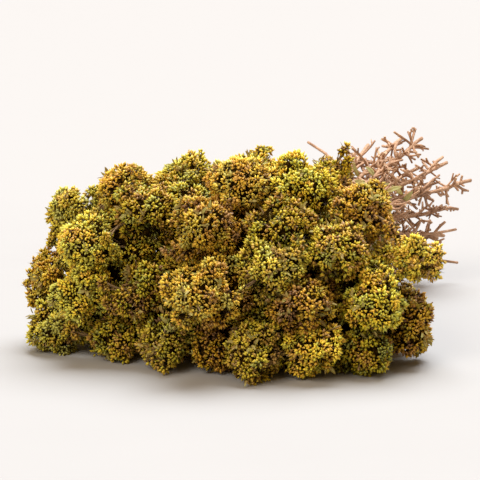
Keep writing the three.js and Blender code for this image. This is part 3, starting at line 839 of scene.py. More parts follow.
@dataclass
class Bunch:
    """Where every stem runs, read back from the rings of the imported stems.

    Each stem owns a cell: in every cross-section, what lies nearer to it than to any other stem.

    Attributes:
        shift: from the middle of the tie to the frame's origin, mm.
        heads: the middles of the heads, (29, 3).
        ties: where the stems pass the tie, across and up, (29, 2).
        levels: for each stem, the distances along at which its rings stand.
        rings: for each stem, the places of those rings, across and up.
    """

    shift: Array
    heads: Array
    ties: Array
    levels: list[Array]
    rings: list[Array]

    @staticmethod
    def rings_of(node: Piece) -> Array:
        """The middles of a stem's rings: points of its mesh that share one distance along.

        Args:
            node: a stem of the frame.

        Returns:
            The middles in order of their distance along, (m, 3), in the frame's mm.
        """
        found = np.empty(3 * len(node.data.vertices), np.float32)
        node.data.vertices.foreach_get("co", found)
        points = np.unique(np.round(found.reshape(-1, 3).astype(float) * 1000, 2), axis=0)
        points = points[np.argsort(points[:, 1], kind="stable")]
        group = np.concatenate([[0], np.cumsum(np.diff(points[:, 1]) > 0.015)])
        size = np.bincount(group)
        middle = np.stack([np.bincount(group, points[:, axis]) / size for axis in range(3)], axis=1)
        spread = np.zeros(len(size))
        np.maximum.at(spread, group, np.linalg.norm(points - middle[group], axis=1))
        return middle[(size >= 4) & (spread < 3)]  # a side twig's points are few or spread wide

    @classmethod
    def read(cls, nodes: dict[str, Piece]) -> "Bunch":
        """Reads the bunch from the frame's stems and tie."""
        rings = [cls.rings_of(nodes[f"stem_{number:02d}"]) for number in range(1, len(HEADS) + 1)]
        heads = np.array([head.place for head in HEADS])
        low, high = (np.array(corner) * 1000 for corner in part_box("tie"))
        all_levels = np.concatenate([ring[:, 1] for ring in rings])
        near_tie = np.abs(all_levels - (low + high)[1] / 2) < 8  # the rings under the wraps
        middle = float(np.median(all_levels[near_tie]))
        across = []
        for ring, head in zip(rings, heads):
            neck, tie = ring[0], ring[np.argmin(np.abs(ring[:, 1] - middle))]
            share = head[1] / (neck[1] - middle)
            across.append(tie[0] + (neck[0] - tie[0]) * share - head[0])
        shift = np.array([np.median(across), middle, TIE_HEIGHT])
        local = [ring - shift for ring in rings]
        ties = np.array([ring[np.argmin(np.abs(ring[:, 1]))][[0, 2]] for ring in local])
        LOG.info("bunch read: %d stems, shift %s mm", len(rings), np.round(shift, 3).tolist())
        return cls(shift, heads, ties, [ring[:, 1] for ring in local], [ring[:, [0, 2]] for ring in local])

    def course(self, number: int, along: Array) -> Array:
        """Where a stem runs behind the tie: straight from ring to ring, and on past the last.

        Args:
            number: the stem, from 0.
            along: distances along, of 0 and more, (n,).

        Returns:
            The places across and up, (n, 2).
        """
        level, ring = self.levels[number], self.rings[number]
        past = ring[-1] + (ring[-1] - ring[-2]) * RUN_ON / (level[-1] - level[-2])
        level, ring = np.append(level, level[-1] + RUN_ON), np.vstack([ring, past])
        return np.stack([np.interp(along, level, ring[:, axis]) for axis in (0, 1)], axis=-1)

    def places(self, along: Array) -> Array:
        """Every stem's place in cross-sections: on the line from tie to head in front of the tie, and
        on its course behind it.

        Args:
            along: the sections' distances along, (n,).

        Returns:
            Places across and up, (29, n, 2).
        """
        share = np.minimum(along, 0)[None] / self.heads[:, 1, None]
        front = self.ties[:, None] + (self.heads[:, [0, 2]] - self.ties)[:, None] * share[..., None]
        if np.all(along <= 0):
            return front
        rear = np.stack([self.course(number, along) for number in range(len(self.heads))])
        return np.where(along[None, :, None] <= 0, front, rear)

    def depth(self, number: int, points: Array) -> Array:
        """How far points lie inside a stem's cell: the least of half the way to each other stem less
        the way gone towards it, and the height above the surface.

        Args:
            number: the stem, from 0.
            points: (n, 3).

        Returns:
            Depths in mm, (n,), below 0 outside the cell.
        """
        places = self.places(points[:, 1])
        own = places[number]
        others = np.delete(places, number, axis=0) - own
        apart = np.linalg.norm(others, axis=-1)
        towards = ((points[:, [0, 2]] - own)[None] * others).sum(axis=-1) / apart
        above = points[:, 2] + TIE_HEIGHT + SURFACE_SLACK + CELL_MARGIN
        return np.minimum((apart / 2 - towards).min(axis=0), above)

    def reach(self, number: int, start: Array, direction: Array, limit: Array | float) -> Array:
        """How far from points one may go along directions and stay in the cell, found by halving.

        Args:
            number: the stem, from 0.
            start: (n, 3).
            direction: (n, 3), of length 1.
            limit: the most that is wanted, (n,) or one for all.

        Returns:
            Distances, (n,).
        """
        limit = np.broadcast_to(np.asarray(limit, float), start.shape[:1]).copy()
        free = self.depth(number, start + direction * limit[:, None]) >= CELL_MARGIN
        low, high = np.zeros_like(limit), limit.copy()
        for _ in range(14):  # to a 16,000th of the limit
            middle = (low + high) / 2
            inside = self.depth(number, start + direction * middle[:, None]) >= CELL_MARGIN
            low, high = np.where(inside, middle, low), np.where(inside, high, middle)
        return np.where(free, limit, low)

    def dress(self, node: str, part: str, shell: Shell, material: Material, slot: str) -> Piece:
        """Makes a shell an object that rides on the part and stands for one of its nodes.

        Args:
            node: the node of the frame that it replaces.
            part: what it is of that node, for its name.
            shell: its surface.
            material: its finish.
            slot: not used.

        Returns:
            The object.
        """
        shell.points[:, 2] = np.maximum(shell.points[:, 2], SURFACE_GAP - TIE_HEIGHT)
        made = shell.to_object(f"{node}_{part}", self.shift, material)
        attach(made, "root")
        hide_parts(node)
        LOG.info("%s: %d triangles", made.name, shell.triangles)
        return made


# Sprays


@dataclass
class Cluster:
    """A dense flower cluster and the lumps of its surface.

    Attributes:
        centre: its middle.
        facing: the way it faces.
        widest: the radius of its dome, mm.
        seed: for its fixed draws.
        root: where its branch leaves the axis.
        lumps: how many small groups of spikelets cover it.
        cap: how far round from its top the spikelets go, degrees.
        lobes: how many round lobes stand round its top one, or none.
        gap: the least distance between its spikelets, mm.
        before: a point that it stays behind, along the axis.
        crown: how far round from its top the spikelets start, degrees.
        thick: half its thickness along the axis, mm.
        inset: how deep its packed inside lies under its surface, mm.
    """

    centre: Array
    facing: Array
    widest: float
    seed: int
    root: Array
    lumps: int
    cap: float
    lobes: int = 0
    gap: float = 2.8
    before: Array | None = None
    crown: float = 0.0
    thick: float = math.inf
    inset: float = 5.0


@dataclass
class Lumps:
    """The small lumps of a cluster: directions from its middle, heights, hues and angular size."""

    direction: Array
    height: Array
    hue: Array
    size: float


@dataclass
class Spikelets:
    """The spikelets of a cluster.

    Attributes:
        tips: where they end, (n, 3).
        lean: the way they point, (n, 3).
        size: (n,).
        hue: (n,), about 0 to 1, from green to brown.
        deep: how far each one is covered, (n,), 0 to 1; it darkens the spikelet's bracts as painted shade.
        faded: how far each one has bleached, lowered as painted shade where it lies deep below its dome,
            (n,).
    """

    tips: Array
    lean: Array
    size: Array
    hue: Array
    deep: Array
    faded: Array

    def only(self, keep: Array) -> "Spikelets":
        """The spikelets that are kept."""
        return Spikelets(*(value[keep] for value in vars(self).values()))


@dataclass
class LeafShape:
    """A small dried leaf, folded along its midrib and curling over towards its point.

    Point (u, v) = u length along + v width(u)/2 across + (fold |v| width(u)/2 wave - curl u^2 length)
    up, with width(u) = width sin(pi u^0.8)^0.75 and wave = 1 + |v|/4 sin(7 u + 45 fold), and half the
    thickness over and under that, a third of it at the edge.

    Attributes:
        thickness: at the midrib, mm.
        steps: steps from the foot to the point.
    """

    thickness: float = 0.32
    steps: int = 6

    def shell(
        self, root: Array, along: Array, up: Array, length: Array, width: Array, fold: Array, curl: Array
    ) -> Shell:
        """Many leaves at once.

        Args:
            root: where they start, (k, 3).
            along: the way they point, (k, 3).
            up: the way their upper faces look, about square to along, (k, 3).
            length: (k,), mm.
            width: (k,), mm.
            fold: how steeply the halves rise from the midrib, (k,).
            curl: how far the point droops, as a share of the length, (k,).

        Returns:
            The leaves as one shell with the value rim, 0 on the midrib and 1 on the edge.
        """
        k = len(root)
        across = unit(np.cross(along, up))
        up = np.cross(across, along)
        u = np.linspace(0, 1, self.steps + 1)[1:-1][None, :, None]
        v = np.array([-1.0, -0.5, 0.0, 0.5, 1.0])
        v = np.append(v, v[::-1])  # over the upper face and back under the lower one
        over = np.repeat([1, -1], 5)
        under = over + np.roll(over, -1) < 0
        long_, folded = length[:, None, None], fold[:, None, None]
        half = 0.5 * width[:, None, None] * np.sin(np.pi * u**0.8) ** 0.75
        wave = 1 + 0.25 * np.sin(7 * u + 45 * folded) * np.abs(v)
        z = folded * np.abs(v) * half * wave - curl[:, None, None] * long_ * u**2
        z = z + over * self.thickness * (0.35 + 0.65 * (1 - np.abs(v))) / 2
        points = np.stack([v * half, z, u * long_ + 0 * v], axis=-1).reshape(k, -1, 3)
        foot = np.zeros((k, 1, 3))
        point = np.stack([np.zeros(k), -curl * length, length], axis=-1)[:, None]
        triangles = closed_faces(self.steps - 1, len(v), under)[:, ::-1]
        shell = repeated(np.concatenate([foot, points, point], axis=1), triangles, (root, across, up, along))
        rim = np.concatenate([[0.3], np.tile(np.abs(v), self.steps - 1), [0.6]])
        shell.values["rim"] = np.tile(rim, k)
        return shell


@dataclass
class Spray:
    """A flowering spray: its axis, side branches, domed clusters of bracts and small leaves.

    Attributes:
        number: the spray, from 0.
        bunch: where it may grow.
        neck: from the head's middle back to the stem's end, mm.
        widest: radius of the head's dome.
        side_widest: radius of a side cluster's dome.
        side_behind: how far behind the head the side clusters stand.
        spikelet: how far the spikelets stand out of a cluster's packed inside.
        groove: how deep the lumps of a cluster are parted.
        interlock: how far a head's spikelets reach in among the neighbouring spray's.
        tangle: how far the other clusters do.
        sprig_count: small clusters of a loose spray.
        sprig_cap: how far round from the tip those stand, degrees.
        mound: the middle of the whole mound of heads across, its half width and its half height.
        trim: how much flatter a head is on the mound's outside, mm.
        least: how far out the notches between a head's lobes stand, as a share of its radius.
        far: how far a cluster could reach at most, mm.
        clear: the least angle between one low cluster and the last few, degrees.
        tries: places for a spikelet, for each one that there could be room for.
        press: how near to its cell's wall a cluster's spikelets grow sparse, mm.
        painted_shade_depth: how much deeper below its dome a spikelet lies for its faded to drop by 1, which
            darkens it as painted shade, mm.
        bract_length: mm.
        bract_width: mm.
        stalk_length: of a spikelet's own stalk, mm.
    """

    number: int
    bunch: Bunch
    neck: float = 46.0
    widest: float = 29.0
    side_widest: float = 14.5
    side_behind: float = 19.0
    spikelet: float = 4.6
    groove: float = 2.0
    interlock: float = 1.9
    tangle: float = 3.2
    sprig_count: int = 13
    sprig_cap: float = 108.0
    mound: tuple[float, float, float] = (-5.0, 125.0, 52.0)
    trim: float = 10.0
    least: float = 0.52
    far: float = 60.0
    clear: float = 62.0
    tries: float = 11.0
    press: float = 4.5
    painted_shade_depth: float = 8.0
    bract_length: float = 3.6
    bract_width: float = 1.9
    stalk_length: float = 6.0

    def __post_init__(self) -> None:
        """Finds the spray's direction and its end at the stem."""
        self.form = HEADS[self.number]
        tie = self.bunch.ties[self.number]
        self.head = self.bunch.heads[self.number]
        self.along = unit(self.head - np.array([tie[0], 0, tie[1]]))
        self.side, self.up = beside(self.along)
        level = min(self.head[1] - self.along[1] * self.neck, -9) - 0.3
        x, z = self.bunch.places(np.array([level]))[self.number, 0]
        self.root = np.array([x, level, z])
        self.random = np.random.default_rng(7000 + self.number)

    def spoke(self, turn: float) -> Array:
        """A direction square to the axis, at a turn in degrees."""
        turn = math.radians(turn)
        return self.side * math.cos(turn) + self.up * math.sin(turn)

    def room(self, start: Array, turn: float) -> float:
        """How far the cell reaches from the axis at a turn, up to 28 mm."""
        e = self.spoke(turn)
        free = self.bunch.reach(self.number, start[None], e[None], 28.0)[0]
        return min(float(free), (start[2] + TIE_HEIGHT) / max(0.001, -e[2]))

    def crown(self) -> Cluster:
        """The head at the spray's tip, with round lobes."""
        widest, seed = self.widest * self.form.share, 10 * self.number
        shape = {"lumps": 70, "cap": 116, "lobes": 4, "inset": 6.4}
        return Cluster(self.head, self.along, widest, seed, self.root, **shape)

    def sprigs(self) -> list[Cluster]:
        """The small clusters that a loose spray has in place of a head.

        Cluster k of n stands at the polar angle acos(1 - (k + 1/2)/n (1 - cos cap)) and k golden
        turns, near the surface that a full head would have.

        Returns:
            The clusters.
        """
        n, count = self.number, self.sprig_count
        k = np.arange(count)
        polar = np.arccos(1 - (k + 0.5) / count * (1 - math.cos(math.radians(self.sprig_cap))))
        direction = tilted(self.along, polar, k * GOLDEN_TURN + ROUND * draw(n, 9))
        widest = np.array([6.0 + 3.2 * draw(n, 40 + i) for i in k])
        kept = self.span(self.crown(), direction)[0] - 0.8 * widest
        apart = np.maximum(kept, 3) * np.array([0.66 + 0.4 * draw(n, 60 + i) for i in k])
        made = []
        for i in range(count):
            root, seed = self.head - (9 + 14 * draw(n, 80 + i)) * self.along, 1000 + 50 * n + i
            facing = unit(direction[i] + 0.4 * self.along)
            centre = self.head + apart[i] * direction[i]
            made.append(Cluster(centre, facing, float(widest[i]), seed, root, lumps=8, cap=150))
        return made

    def clusters(self) -> list[Cluster]:
        """The head at the tip with a small one on its flank, the side clusters behind it where the
        cell has the most room, a collar that fills the cell behind it, and small ones lower down."""
        n, loose = self.number, self.form.loose
        made = self.sprigs() if loose else [self.crown()]
        behind = self.head - self.side_behind * self.along
        turns = [30 * k + 20 * draw(n, k) for k in range(12)]
        widest = max(turns, key=lambda turn: self.room(behind, turn))
        taken = [widest, widest + 150][: self.form.sides]
        for k, turn in enumerate(taken):
            e, seed = self.spoke(turn), 10 * n + k + 1
            out = min(13.0, max(4.0, 0.55 * self.room(behind, turn)))
            facing = unit(self.along + 1.2 * e)
            root = behind - (0.7 * out + 4) * self.along
            limit = self.head - 0.3 * self.widest * self.along
            radius = self.side_widest * (0.72 if loose else 1.0)
            shape = {"lumps": 18, "cap": 112, "before": limit, "inset": 6.0}
            made.append(Cluster(behind + out * e, facing, radius, seed, root, **shape))
        if not loose:
            turn = 360 * draw(n, 90)
            e = self.spoke(turn)
            middle = self.head + (7 * draw(n, 91) - 1) * self.along
            place = middle + min(16.0, 0.85 * self.room(middle, turn)) * e
            radius, facing = 8.5 + 2 * draw(n, 92), unit(self.along + 0.7 * e)
            made.append(Cluster(place, facing, radius, 10 * n + 2, behind, lumps=9, cap=112))
            axis, radius = self.head - 23 * self.along, self.widest * min(1.0, self.form.share + 0.06)
            collar = {"lumps": 60, "cap": 128, "gap": 3.3, "crown": 52, "thick": 12, "inset": 4.6}
            made.append(Cluster(axis, self.along, radius, 10 * n + 3, self.root, **collar))
        for k, (*place, radius) in enumerate(APART):
            middle = np.array(place, float)
            if self.bunch.depth(n, middle[None])[0] > 1:
                facing = unit(unit(middle - self.head) + 0.8 * self.along)
                root, seed = self.head - 14 * self.along, 2000 + 50 * n + k
                made.append(Cluster(middle, facing, radius, seed, root, lumps=8, cap=150))
        made += self.bridges()
        for k, back in enumerate((24.0, 36.0, 41.0)):
            axis = self.head - back * self.along
            others = np.array(taken)
            free = [turn for turn in turns if np.all(np.abs((turn - others + 180) % 360 - 180) > self.clear)]
            turn = max(free or turns, key=lambda turn: self.room(axis, turn))
            taken = (taken + [turn])[-3:]
            e, seed = self.spoke(turn), 10 * n + k + 4
            out = min(13.0, max(2.0, 0.56 * self.room(axis, turn)))
            facing = unit(0.5 * self.along + 1.2 * e)
            root, limit = axis - (0.8 * out + 2) * self.along, axis + 10 * self.along
            shape = {"lumps": 10, "cap": 110, "gap": 3.2, "before": limit, "inset": 6.0}
            made.append(Cluster(axis + out * e, facing, 11.0, seed, root, **shape))
        return made

    def bridges(self) -> list[Cluster]:
        """The small clusters in the grooves round the head, drawn back into its cell by up to 8 mm, so
        that every spray beside a groove has its own part of each."""
        made = []
        for k, (*place, radius) in enumerate(BRIDGES):
            place = np.array(place, float)
            places = place + np.arange(0, 8.5, 0.5)[:, None] * unit(self.head - place)
            deep = np.flatnonzero(self.bunch.depth(self.number, places) > 2.5)
            if len(deep):
                middle = places[deep[0]]
                facing = unit(unit(middle - self.head) + 0.5 * self.along)
                root, seed = self.head - 6 * self.along, 5000 + 50 * self.number + k
                made.append(Cluster(middle, facing, radius, seed, root, lumps=7, cap=120, gap=3.0))
        return made

    def lobes_of(self, cluster: Cluster) -> tuple[Array, Array, Array]:
        """The round lobes of a head: balls whose middles stand round its own.

        Args:
            cluster: the cluster.

        Returns:
            The directions of their middles, how far out those are and how large the balls are, both
            as shares of the head's radius.
        """
        seed, count = cluster.seed, cluster.lobes
        start = 360 * draw(seed, 77)
        turns = np.array([start + 360 * (k + 0.75 * draw(seed, k)) / count for k in range(count)])
        polar = np.radians([46 + 36 * draw(seed, 20 + k) for k in range(count)])
        around = tilted(cluster.facing, polar, np.radians(turns))
        top = tilted(cluster.facing, 0.1 + 0.45 * draw(seed, 33), ROUND * draw(seed, 34))
        apart = np.array([0.5 + 0.15 * draw(seed, 40 + k) for k in range(count + 1)])
        size = np.array([0.38 + 0.12 * draw(seed, 60 + k) for k in range(count + 1)])
        size[0] += 0.08  # the top one is larger
        return np.vstack([top, around]), apart, size

    def dome(self, cluster: Cluster, direction: Array) -> tuple[Array, Array]:
        """The distance to a cluster's surface in each direction, without its spikelets.

        (widest - trim outwards . direction - spikelet) times the furthest crossing of its lobes, each
        apart cos a + sqrt(size^2 - apart^2 sin^2 a) at the angle a to it, and the least share.

        Args:
            cluster: the cluster.
            direction: (n, 3), of length 1.

        Returns:
            Distances, (n,), and the directions square to the surface, (n, 3).
        """
        middle, half_width, half_height = self.mound
        outwards = np.array([(cluster.centre[0] - middle) / half_width, 0, cluster.centre[2] / half_height])
        full = cluster.widest - self.trim * np.clip(direction @ outwards, 0, 1) - self.spikelet
        if not cluster.lobes:
            return full, direction
        lobes, apart, size = self.lobes_of(cluster)
        cosine = direction @ lobes.T
        inside = size**2 - apart**2 * (1 - cosine**2)
        crossing = np.where(inside > 0, apart * cosine + np.sqrt(np.maximum(inside, 0)), 0)
        nearest = crossing.argmax(axis=1)
        share = np.maximum(crossing.max(axis=1), self.least)
        return full * share, unit(direction * share[:, None] - (apart[:, None] * lobes)[nearest])

    def span(self, cluster: Cluster, direction: Array) -> tuple[Array, ...]:
        """How far a cluster reaches in each direction, kept in its cell.

        The free distance and the one to the cell's wall are joined smoothly: the sum of both to the
        power -p, to the power -1/p. A small p rounds a head off: 3.6 for the lowest, up to 7.6 for
        the highest, and 10 for the rest. The distance to a hollow, (way . direction) - sqrt(radius^2 -
        (distance of the ray from its middle)^2), is joined in the same way with p = 9, for each of its
        balls. Then come the surface that the bunch lies on, and flat limits ahead and behind.

        Args:
            cluster: the cluster.
            direction: (n, 3), of length 1.

        Returns:
            The distances, the room left to the cell's wall, the directions square to the free dome,
            and how far below that dome the cluster ends.
        """
        free, square = self.dome(cluster, direction)
        wanted = free + self.spikelet
        start = np.broadcast_to(cluster.centre, direction.shape)
        wall = self.bunch.reach(self.number, start, direction, self.far)
        wall = wall + (self.interlock if cluster.lobes else self.tangle)
        power = 3.6 + 4 * np.clip((self.head[2] + 10) / 50, 0, 1) if cluster.lobes else 10.0
        kept = (wanted**-power + wall**-power) ** (-1 / power)
        for (*place, radius), out in itertools.product(HOLLOWS, HOLLOW_STEPS):
            way = np.array(place) + out * HOLLOW_WAY - cluster.centre
            if way @ way > 50**2:  # too far off to matter
                continue
            near = direction @ way
            inside = near**2 - way @ way + (radius + HOLLOW_FLARE * out) ** 2
            before = np.maximum(near - np.sqrt(np.maximum(inside, 0)), 3.0)
            hit = (inside > 0) & (near > 0)
            kept = np.where(hit, (kept**-9.0 + before**-9.0) ** (-1 / 9.0), kept)
        fall = np.maximum(-direction[:, 2], 0.01)
        height = cluster.centre[2] + TIE_HEIGHT - self.form.lift
        kept = np.minimum(kept, np.maximum(height, 2) / fall)
        rise = direction @ self.along
        if cluster.before is not None:
            ahead = (cluster.before - cluster.centre) @ self.along
            kept = np.where(rise > 0.01, np.minimum(kept, ahead / np.maximum(rise, 0.01)), kept)
        kept = np.minimum(kept, cluster.thick / np.maximum(np.abs(rise), 0.01))
        return kept, wall - kept, square, np.maximum(wanted - kept, 0)

    def lumps_of(self, cluster: Cluster) -> Lumps:
        """The lumps of a cluster, spread evenly over its cap with a little disorder.

        Lump k of n stands at the polar angle acos(1 - (k + 1/2)/n (1 - cos cap)) and k golden turns.

        Args:
            cluster: the cluster.

        Returns:
            Its lumps.
        """
        rng, count = self.random, cluster.lumps
        cap = 1 - math.cos(math.radians(cluster.cap))
        k = np.arange(count)
        polar = np.arccos(1 - (k + 0.5) / count * cap) + rng.normal(0, 0.1, count)
        turn = k * GOLDEN_TURN + ROUND * draw(cluster.seed, 5) + rng.normal(0, 0.12, count)
        direction = tilted(cluster.facing, np.abs(polar), turn)
        hue = self.form.brown + rng.normal(0, 0.17, count)
        low, high = (-2.3, 1.2) if cluster.lobes else (-1.3, 0.9)
        return Lumps(direction, rng.uniform(low, high, count), hue, math.sqrt(2 * cap / count))

    def surface(self, cluster: Cluster, lumps: Lumps, direction: Array) -> tuple[Array, ...]:
        """The lumpy surface of a cluster.

        Distance = span + height of the nearest lump - groove (angle to it / its size)^2.

        Args:
            cluster: the cluster.
            lumps: its lumps.
            direction: (n, 3), of length 1.

        Returns:
            The distance, the room left to the cell's wall, the nearest lump, the share of its size
            that the direction lies from its middle, the direction square to the free dome, and how
            far below that dome the cluster ends.
        """
        kept, room, square, sunk = self.span(cluster, direction)
        cosine = np.clip(direction @ lumps.direction.T, -1, 1)
        nearest = cosine.argmax(axis=1)
        share = np.clip(np.arccos(cosine.max(axis=1)) / lumps.size, 0, 1.25)
        distance = kept + lumps.height[nearest] - self.groove * share**2
        return np.maximum(distance, 0.4 * kept), room, nearest, share, square, sunk

    def spikelets_of(self, cluster: Cluster, lumps: Lumps) -> Spikelets:
        """Spikelets over a cluster's surface, fanning out over each lump, fewer where neighbours
        press against it, and darker the further it is pressed in, as painted shade.

        Place k of n stands at the polar angle acos(1 - first - (k + 1/2)/n cap) and k golden turns,
        and of those that lie too near to each other one is used. A spikelet leans along direction +
        0.8 square to the dome + 1.1 share away from its lump's middle + 0.12 facing.

        Args:
            cluster: the cluster.
            lumps: its lumps.

        Returns:
            The spikelets, covered the more the deeper they lie between lumps and among neighbours, which
            darkens them as painted shade.
        """
        rng = self.random
        first = 1 - math.cos(math.radians(cluster.crown))
        cap = 1 - math.cos(math.radians(cluster.cap)) - first
        count = int(self.tries * cap * (cluster.widest - 2.0) ** 2 / cluster.gap**2)
        k = np.arange(count)
        polar = np.arccos(1 - first - (k + 0.5) / count * cap) + rng.normal(0, 0.03, count)
        turn = k * GOLDEN_TURN + rng.normal(0, 0.03, count)
        direction = tilted(cluster.facing, np.abs(polar), turn)
        distance, room, nearest, share, square, sunk = self.surface(cluster, lumps, direction)
        pressed = np.clip(1 - room / self.press, 0, 1 if cluster.lobes else 0.5)
        rank = np.where(rng.random(count) < 1.05 - 0.95 * pressed, rng.permutation(count), -2.0)
        stay = rank >= 0
        use = np.flatnonzero(stay)
        use = use[spaced((direction * distance[:, None])[stay], cluster.gap, rank[stay].astype(np.float32))]
        direction, distance, nearest, share = direction[use], distance[use], nearest[use], share[use]
        tips = cluster.centre + direction * (distance + rng.normal(0, 0.4, len(use)))[:, None]
        middle = lumps.direction[nearest]
        away = unit(direction - middle * (direction * middle).sum(1, keepdims=True))
        lean = unit(direction + 0.8 * square[use] + 1.1 * share[:, None] * away + 0.12 * cluster.facing)
        lean = unit(lean + rng.normal(0, 0.14, lean.shape))
        size = rng.uniform(0.84, 1.16, len(use))
        hue = lumps.hue[nearest] + rng.normal(0, 0.13, len(use))
        # painted shade: spikelets down a groove between lumps, and those pressed among neighbours, get a
        # larger deep, which darkens their bracts
        deep = np.clip(0.55 * share**2 + 0.7 * pressed[use], 0, 1)
        # painted shade: a spikelet pressed in below its dome gets a lower faded, which colours it darker
        faded = self.form.faded - np.clip(sunk[use] / self.painted_shade_depth - 0.25, 0, 1.2)
        return Spikelets(tips, lean, size, hue, deep, faded)

    def buried(self, tips: Array, others: list[Cluster]) -> Array:
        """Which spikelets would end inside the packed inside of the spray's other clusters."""
        inside = np.zeros(len(tips), bool)
        for other in others:
            away = tips - other.centre
            distance = np.linalg.norm(away, axis=1)
            inside |= distance < self.span(other, unit(away))[0] - other.inset + 1.0
        return inside

    def bracts(self, grown: Spikelets) -> list[Shell]:
        """Five bracts to a spikelet: two opposite pairs, a quarter turn apart, round a closed bud.

        A bract is a closed boat with a ring of three points, its keel outward, and a point at each
        end. Point (level, corner) = (corner across, keel out, level along). The bud has a ring of
        four. Under them is a thin stalk, a three-sided spike that runs down into the cluster.

        Args:
            grown: the spikelets.

        Returns:
            The bracts, the buds and the stalks, as shells with the values tip, hue and faded.
        """
        rng, n = self.random, len(grown.tips)
        lean, size = grown.lean, grown.size
        length = np.array([1.0, 1.0, 0.94, 0.94, 0.9])
        width = np.array([1.0, 1.0, 0.92, 0.92, 0.86])
        spread = np.radians([52, 52, 28, 28, 4])
        foot = 1.1 * np.array([-3.2, -3.2, -2.75, -2.75, -2.6])
        quarter = np.array([0, np.pi, np.pi / 2, -np.pi / 2, 0.4])
        turn = ROUND * rng.random((n, 1)) + quarter + rng.normal(0, 0.16, (n, 5))
        spread = np.abs(spread + rng.normal(0, 0.14, (n, 5)))[..., None]
        scale = size[:, None] * rng.uniform(0.84, 1.16, (n, 5))
        facing = np.broadcast_to(lean[:, None], (n, 5, 3))
        outward = tilted(facing, np.full((n, 5), np.pi / 2), turn)
        along = facing * np.cos(spread) + outward * np.sin(spread)
        out = outward * np.cos(spread) - facing * np.sin(spread)
        across = np.cross(out, along)
        origin = grown.tips[:, None] + facing * (foot * size[:, None])[..., None] + outward * 0.35
        long_ = self.bract_length * length * scale
        wide = self.bract_width * width * scale * rng.uniform(0.85, 1.15, (n, 5))
        own = np.clip(grown.hue[:, None] + rng.normal(0, 0.12, (n, 5)), 0, 1)
        # faded may run below 0, where painted shade darkens a bract
        faded = np.clip(grown.faded + rng.normal(0, 0.2, n), -1.0, 1.5)
        # painted shade: a deep spikelet's tip values are cut down, so its bracts take more of the dark foot
        # colour
        clear = 1 - 0.5 * grown.deep
        shells = []
        for part, shape, triangles in self.boats():
            scaled = np.stack([wide[:, part], wide[:, part], long_[:, part]], axis=-1).reshape(-1, 1, 3)
            frames = tuple(v[:, part].reshape(-1, 3) for v in (origin, across, out, along))
            shell = repeated(shape * scaled, triangles, frames)
            count = part.stop - part.start
            shell.values["tip"] = (np.repeat(clear, count)[:, None] * shape[None, :, 2]).ravel()
            shell.values["hue"] = np.repeat(own[:, part].reshape(-1), len(shape))
            shell.values["faded"] = np.repeat(faded, len(shape) * count)
            shells.append(shell)
        spike = np.array([[0, 0, 0], [0, 0.42, 1], [0.36, -0.21, 1], [-0.36, -0.21, 1]])
        scaled = np.stack([size, size, self.stalk_length * size], axis=-1)[:, None]
        base = grown.tips - 1.4 * self.stalk_length * size[:, None] * lean
        frames = (base, across[:, 0], np.cross(lean, across[:, 0]), lean)
        shell = repeated(spike * scaled, np.array([[0, 2, 1], [0, 1, 3], [0, 3, 2], [1, 2, 3]]), frames)
        none = np.zeros(len(shell.points))
        shell.values = {"tip": none, "hue": none + 0.6, "faded": none}
        return [*shells, shell]

    @staticmethod
    def boats() -> tuple[tuple[slice, Array, Array], ...]:
        """The shapes of the bracts and of the bud: which of the five they are, the points (across,
        out, along) of one that is 1 long, and its triangles, which face out."""
        bract = np.array([[0, 0, 0], [0, 0.34, 0.58], [0.5, -0.22, 0.55], [-0.5, -0.22, 0.55], [0, -0.1, 1]])
        ring = [[-0.5, -0.125, 0.55], [0, -0.375, 0.5], [0.5, -0.125, 0.55]]
        bud = np.array([[0, 0, 0], [0, 0.45, 0.52], *ring, [0, 0, 1]])
        return (slice(0, 4), bract, closed_faces(1, 3)), (slice(4, 5), bud, closed_faces(1, 4)[:, ::-1])

    def heart(self, cluster: Cluster) -> Shell:
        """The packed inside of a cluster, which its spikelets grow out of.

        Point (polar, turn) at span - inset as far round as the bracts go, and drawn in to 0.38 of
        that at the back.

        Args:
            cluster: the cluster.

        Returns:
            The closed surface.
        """
        large = cluster.widest > 15
        rings, sides = (11, 18) if large else (6, 9)
        levels, spokes = np.arange(1, rings + 1) / (rings + 1), np.arange(sides) / sides
        polar, turn = np.meshgrid(np.pi * levels, 2 * np.pi * spokes, indexing="ij")
        polar = np.concatenate([[0], polar.ravel(), [np.pi]])
        turn = np.concatenate([[0], turn.ravel(), [0]])
        direction = tilted(cluster.facing, polar, turn)
        distance = self.span(cluster, direction)[0]
        back = np.clip((np.degrees(polar) - cluster.cap + 14) / 50, 0, 1)
        distance = np.maximum(distance - cluster.inset, 0.3 * distance) * (1 - 0.62 * back)
        points = cluster.centre + direction * distance[:, None]
        return Shell.of_triangles(points, closed_faces(rings, sides))

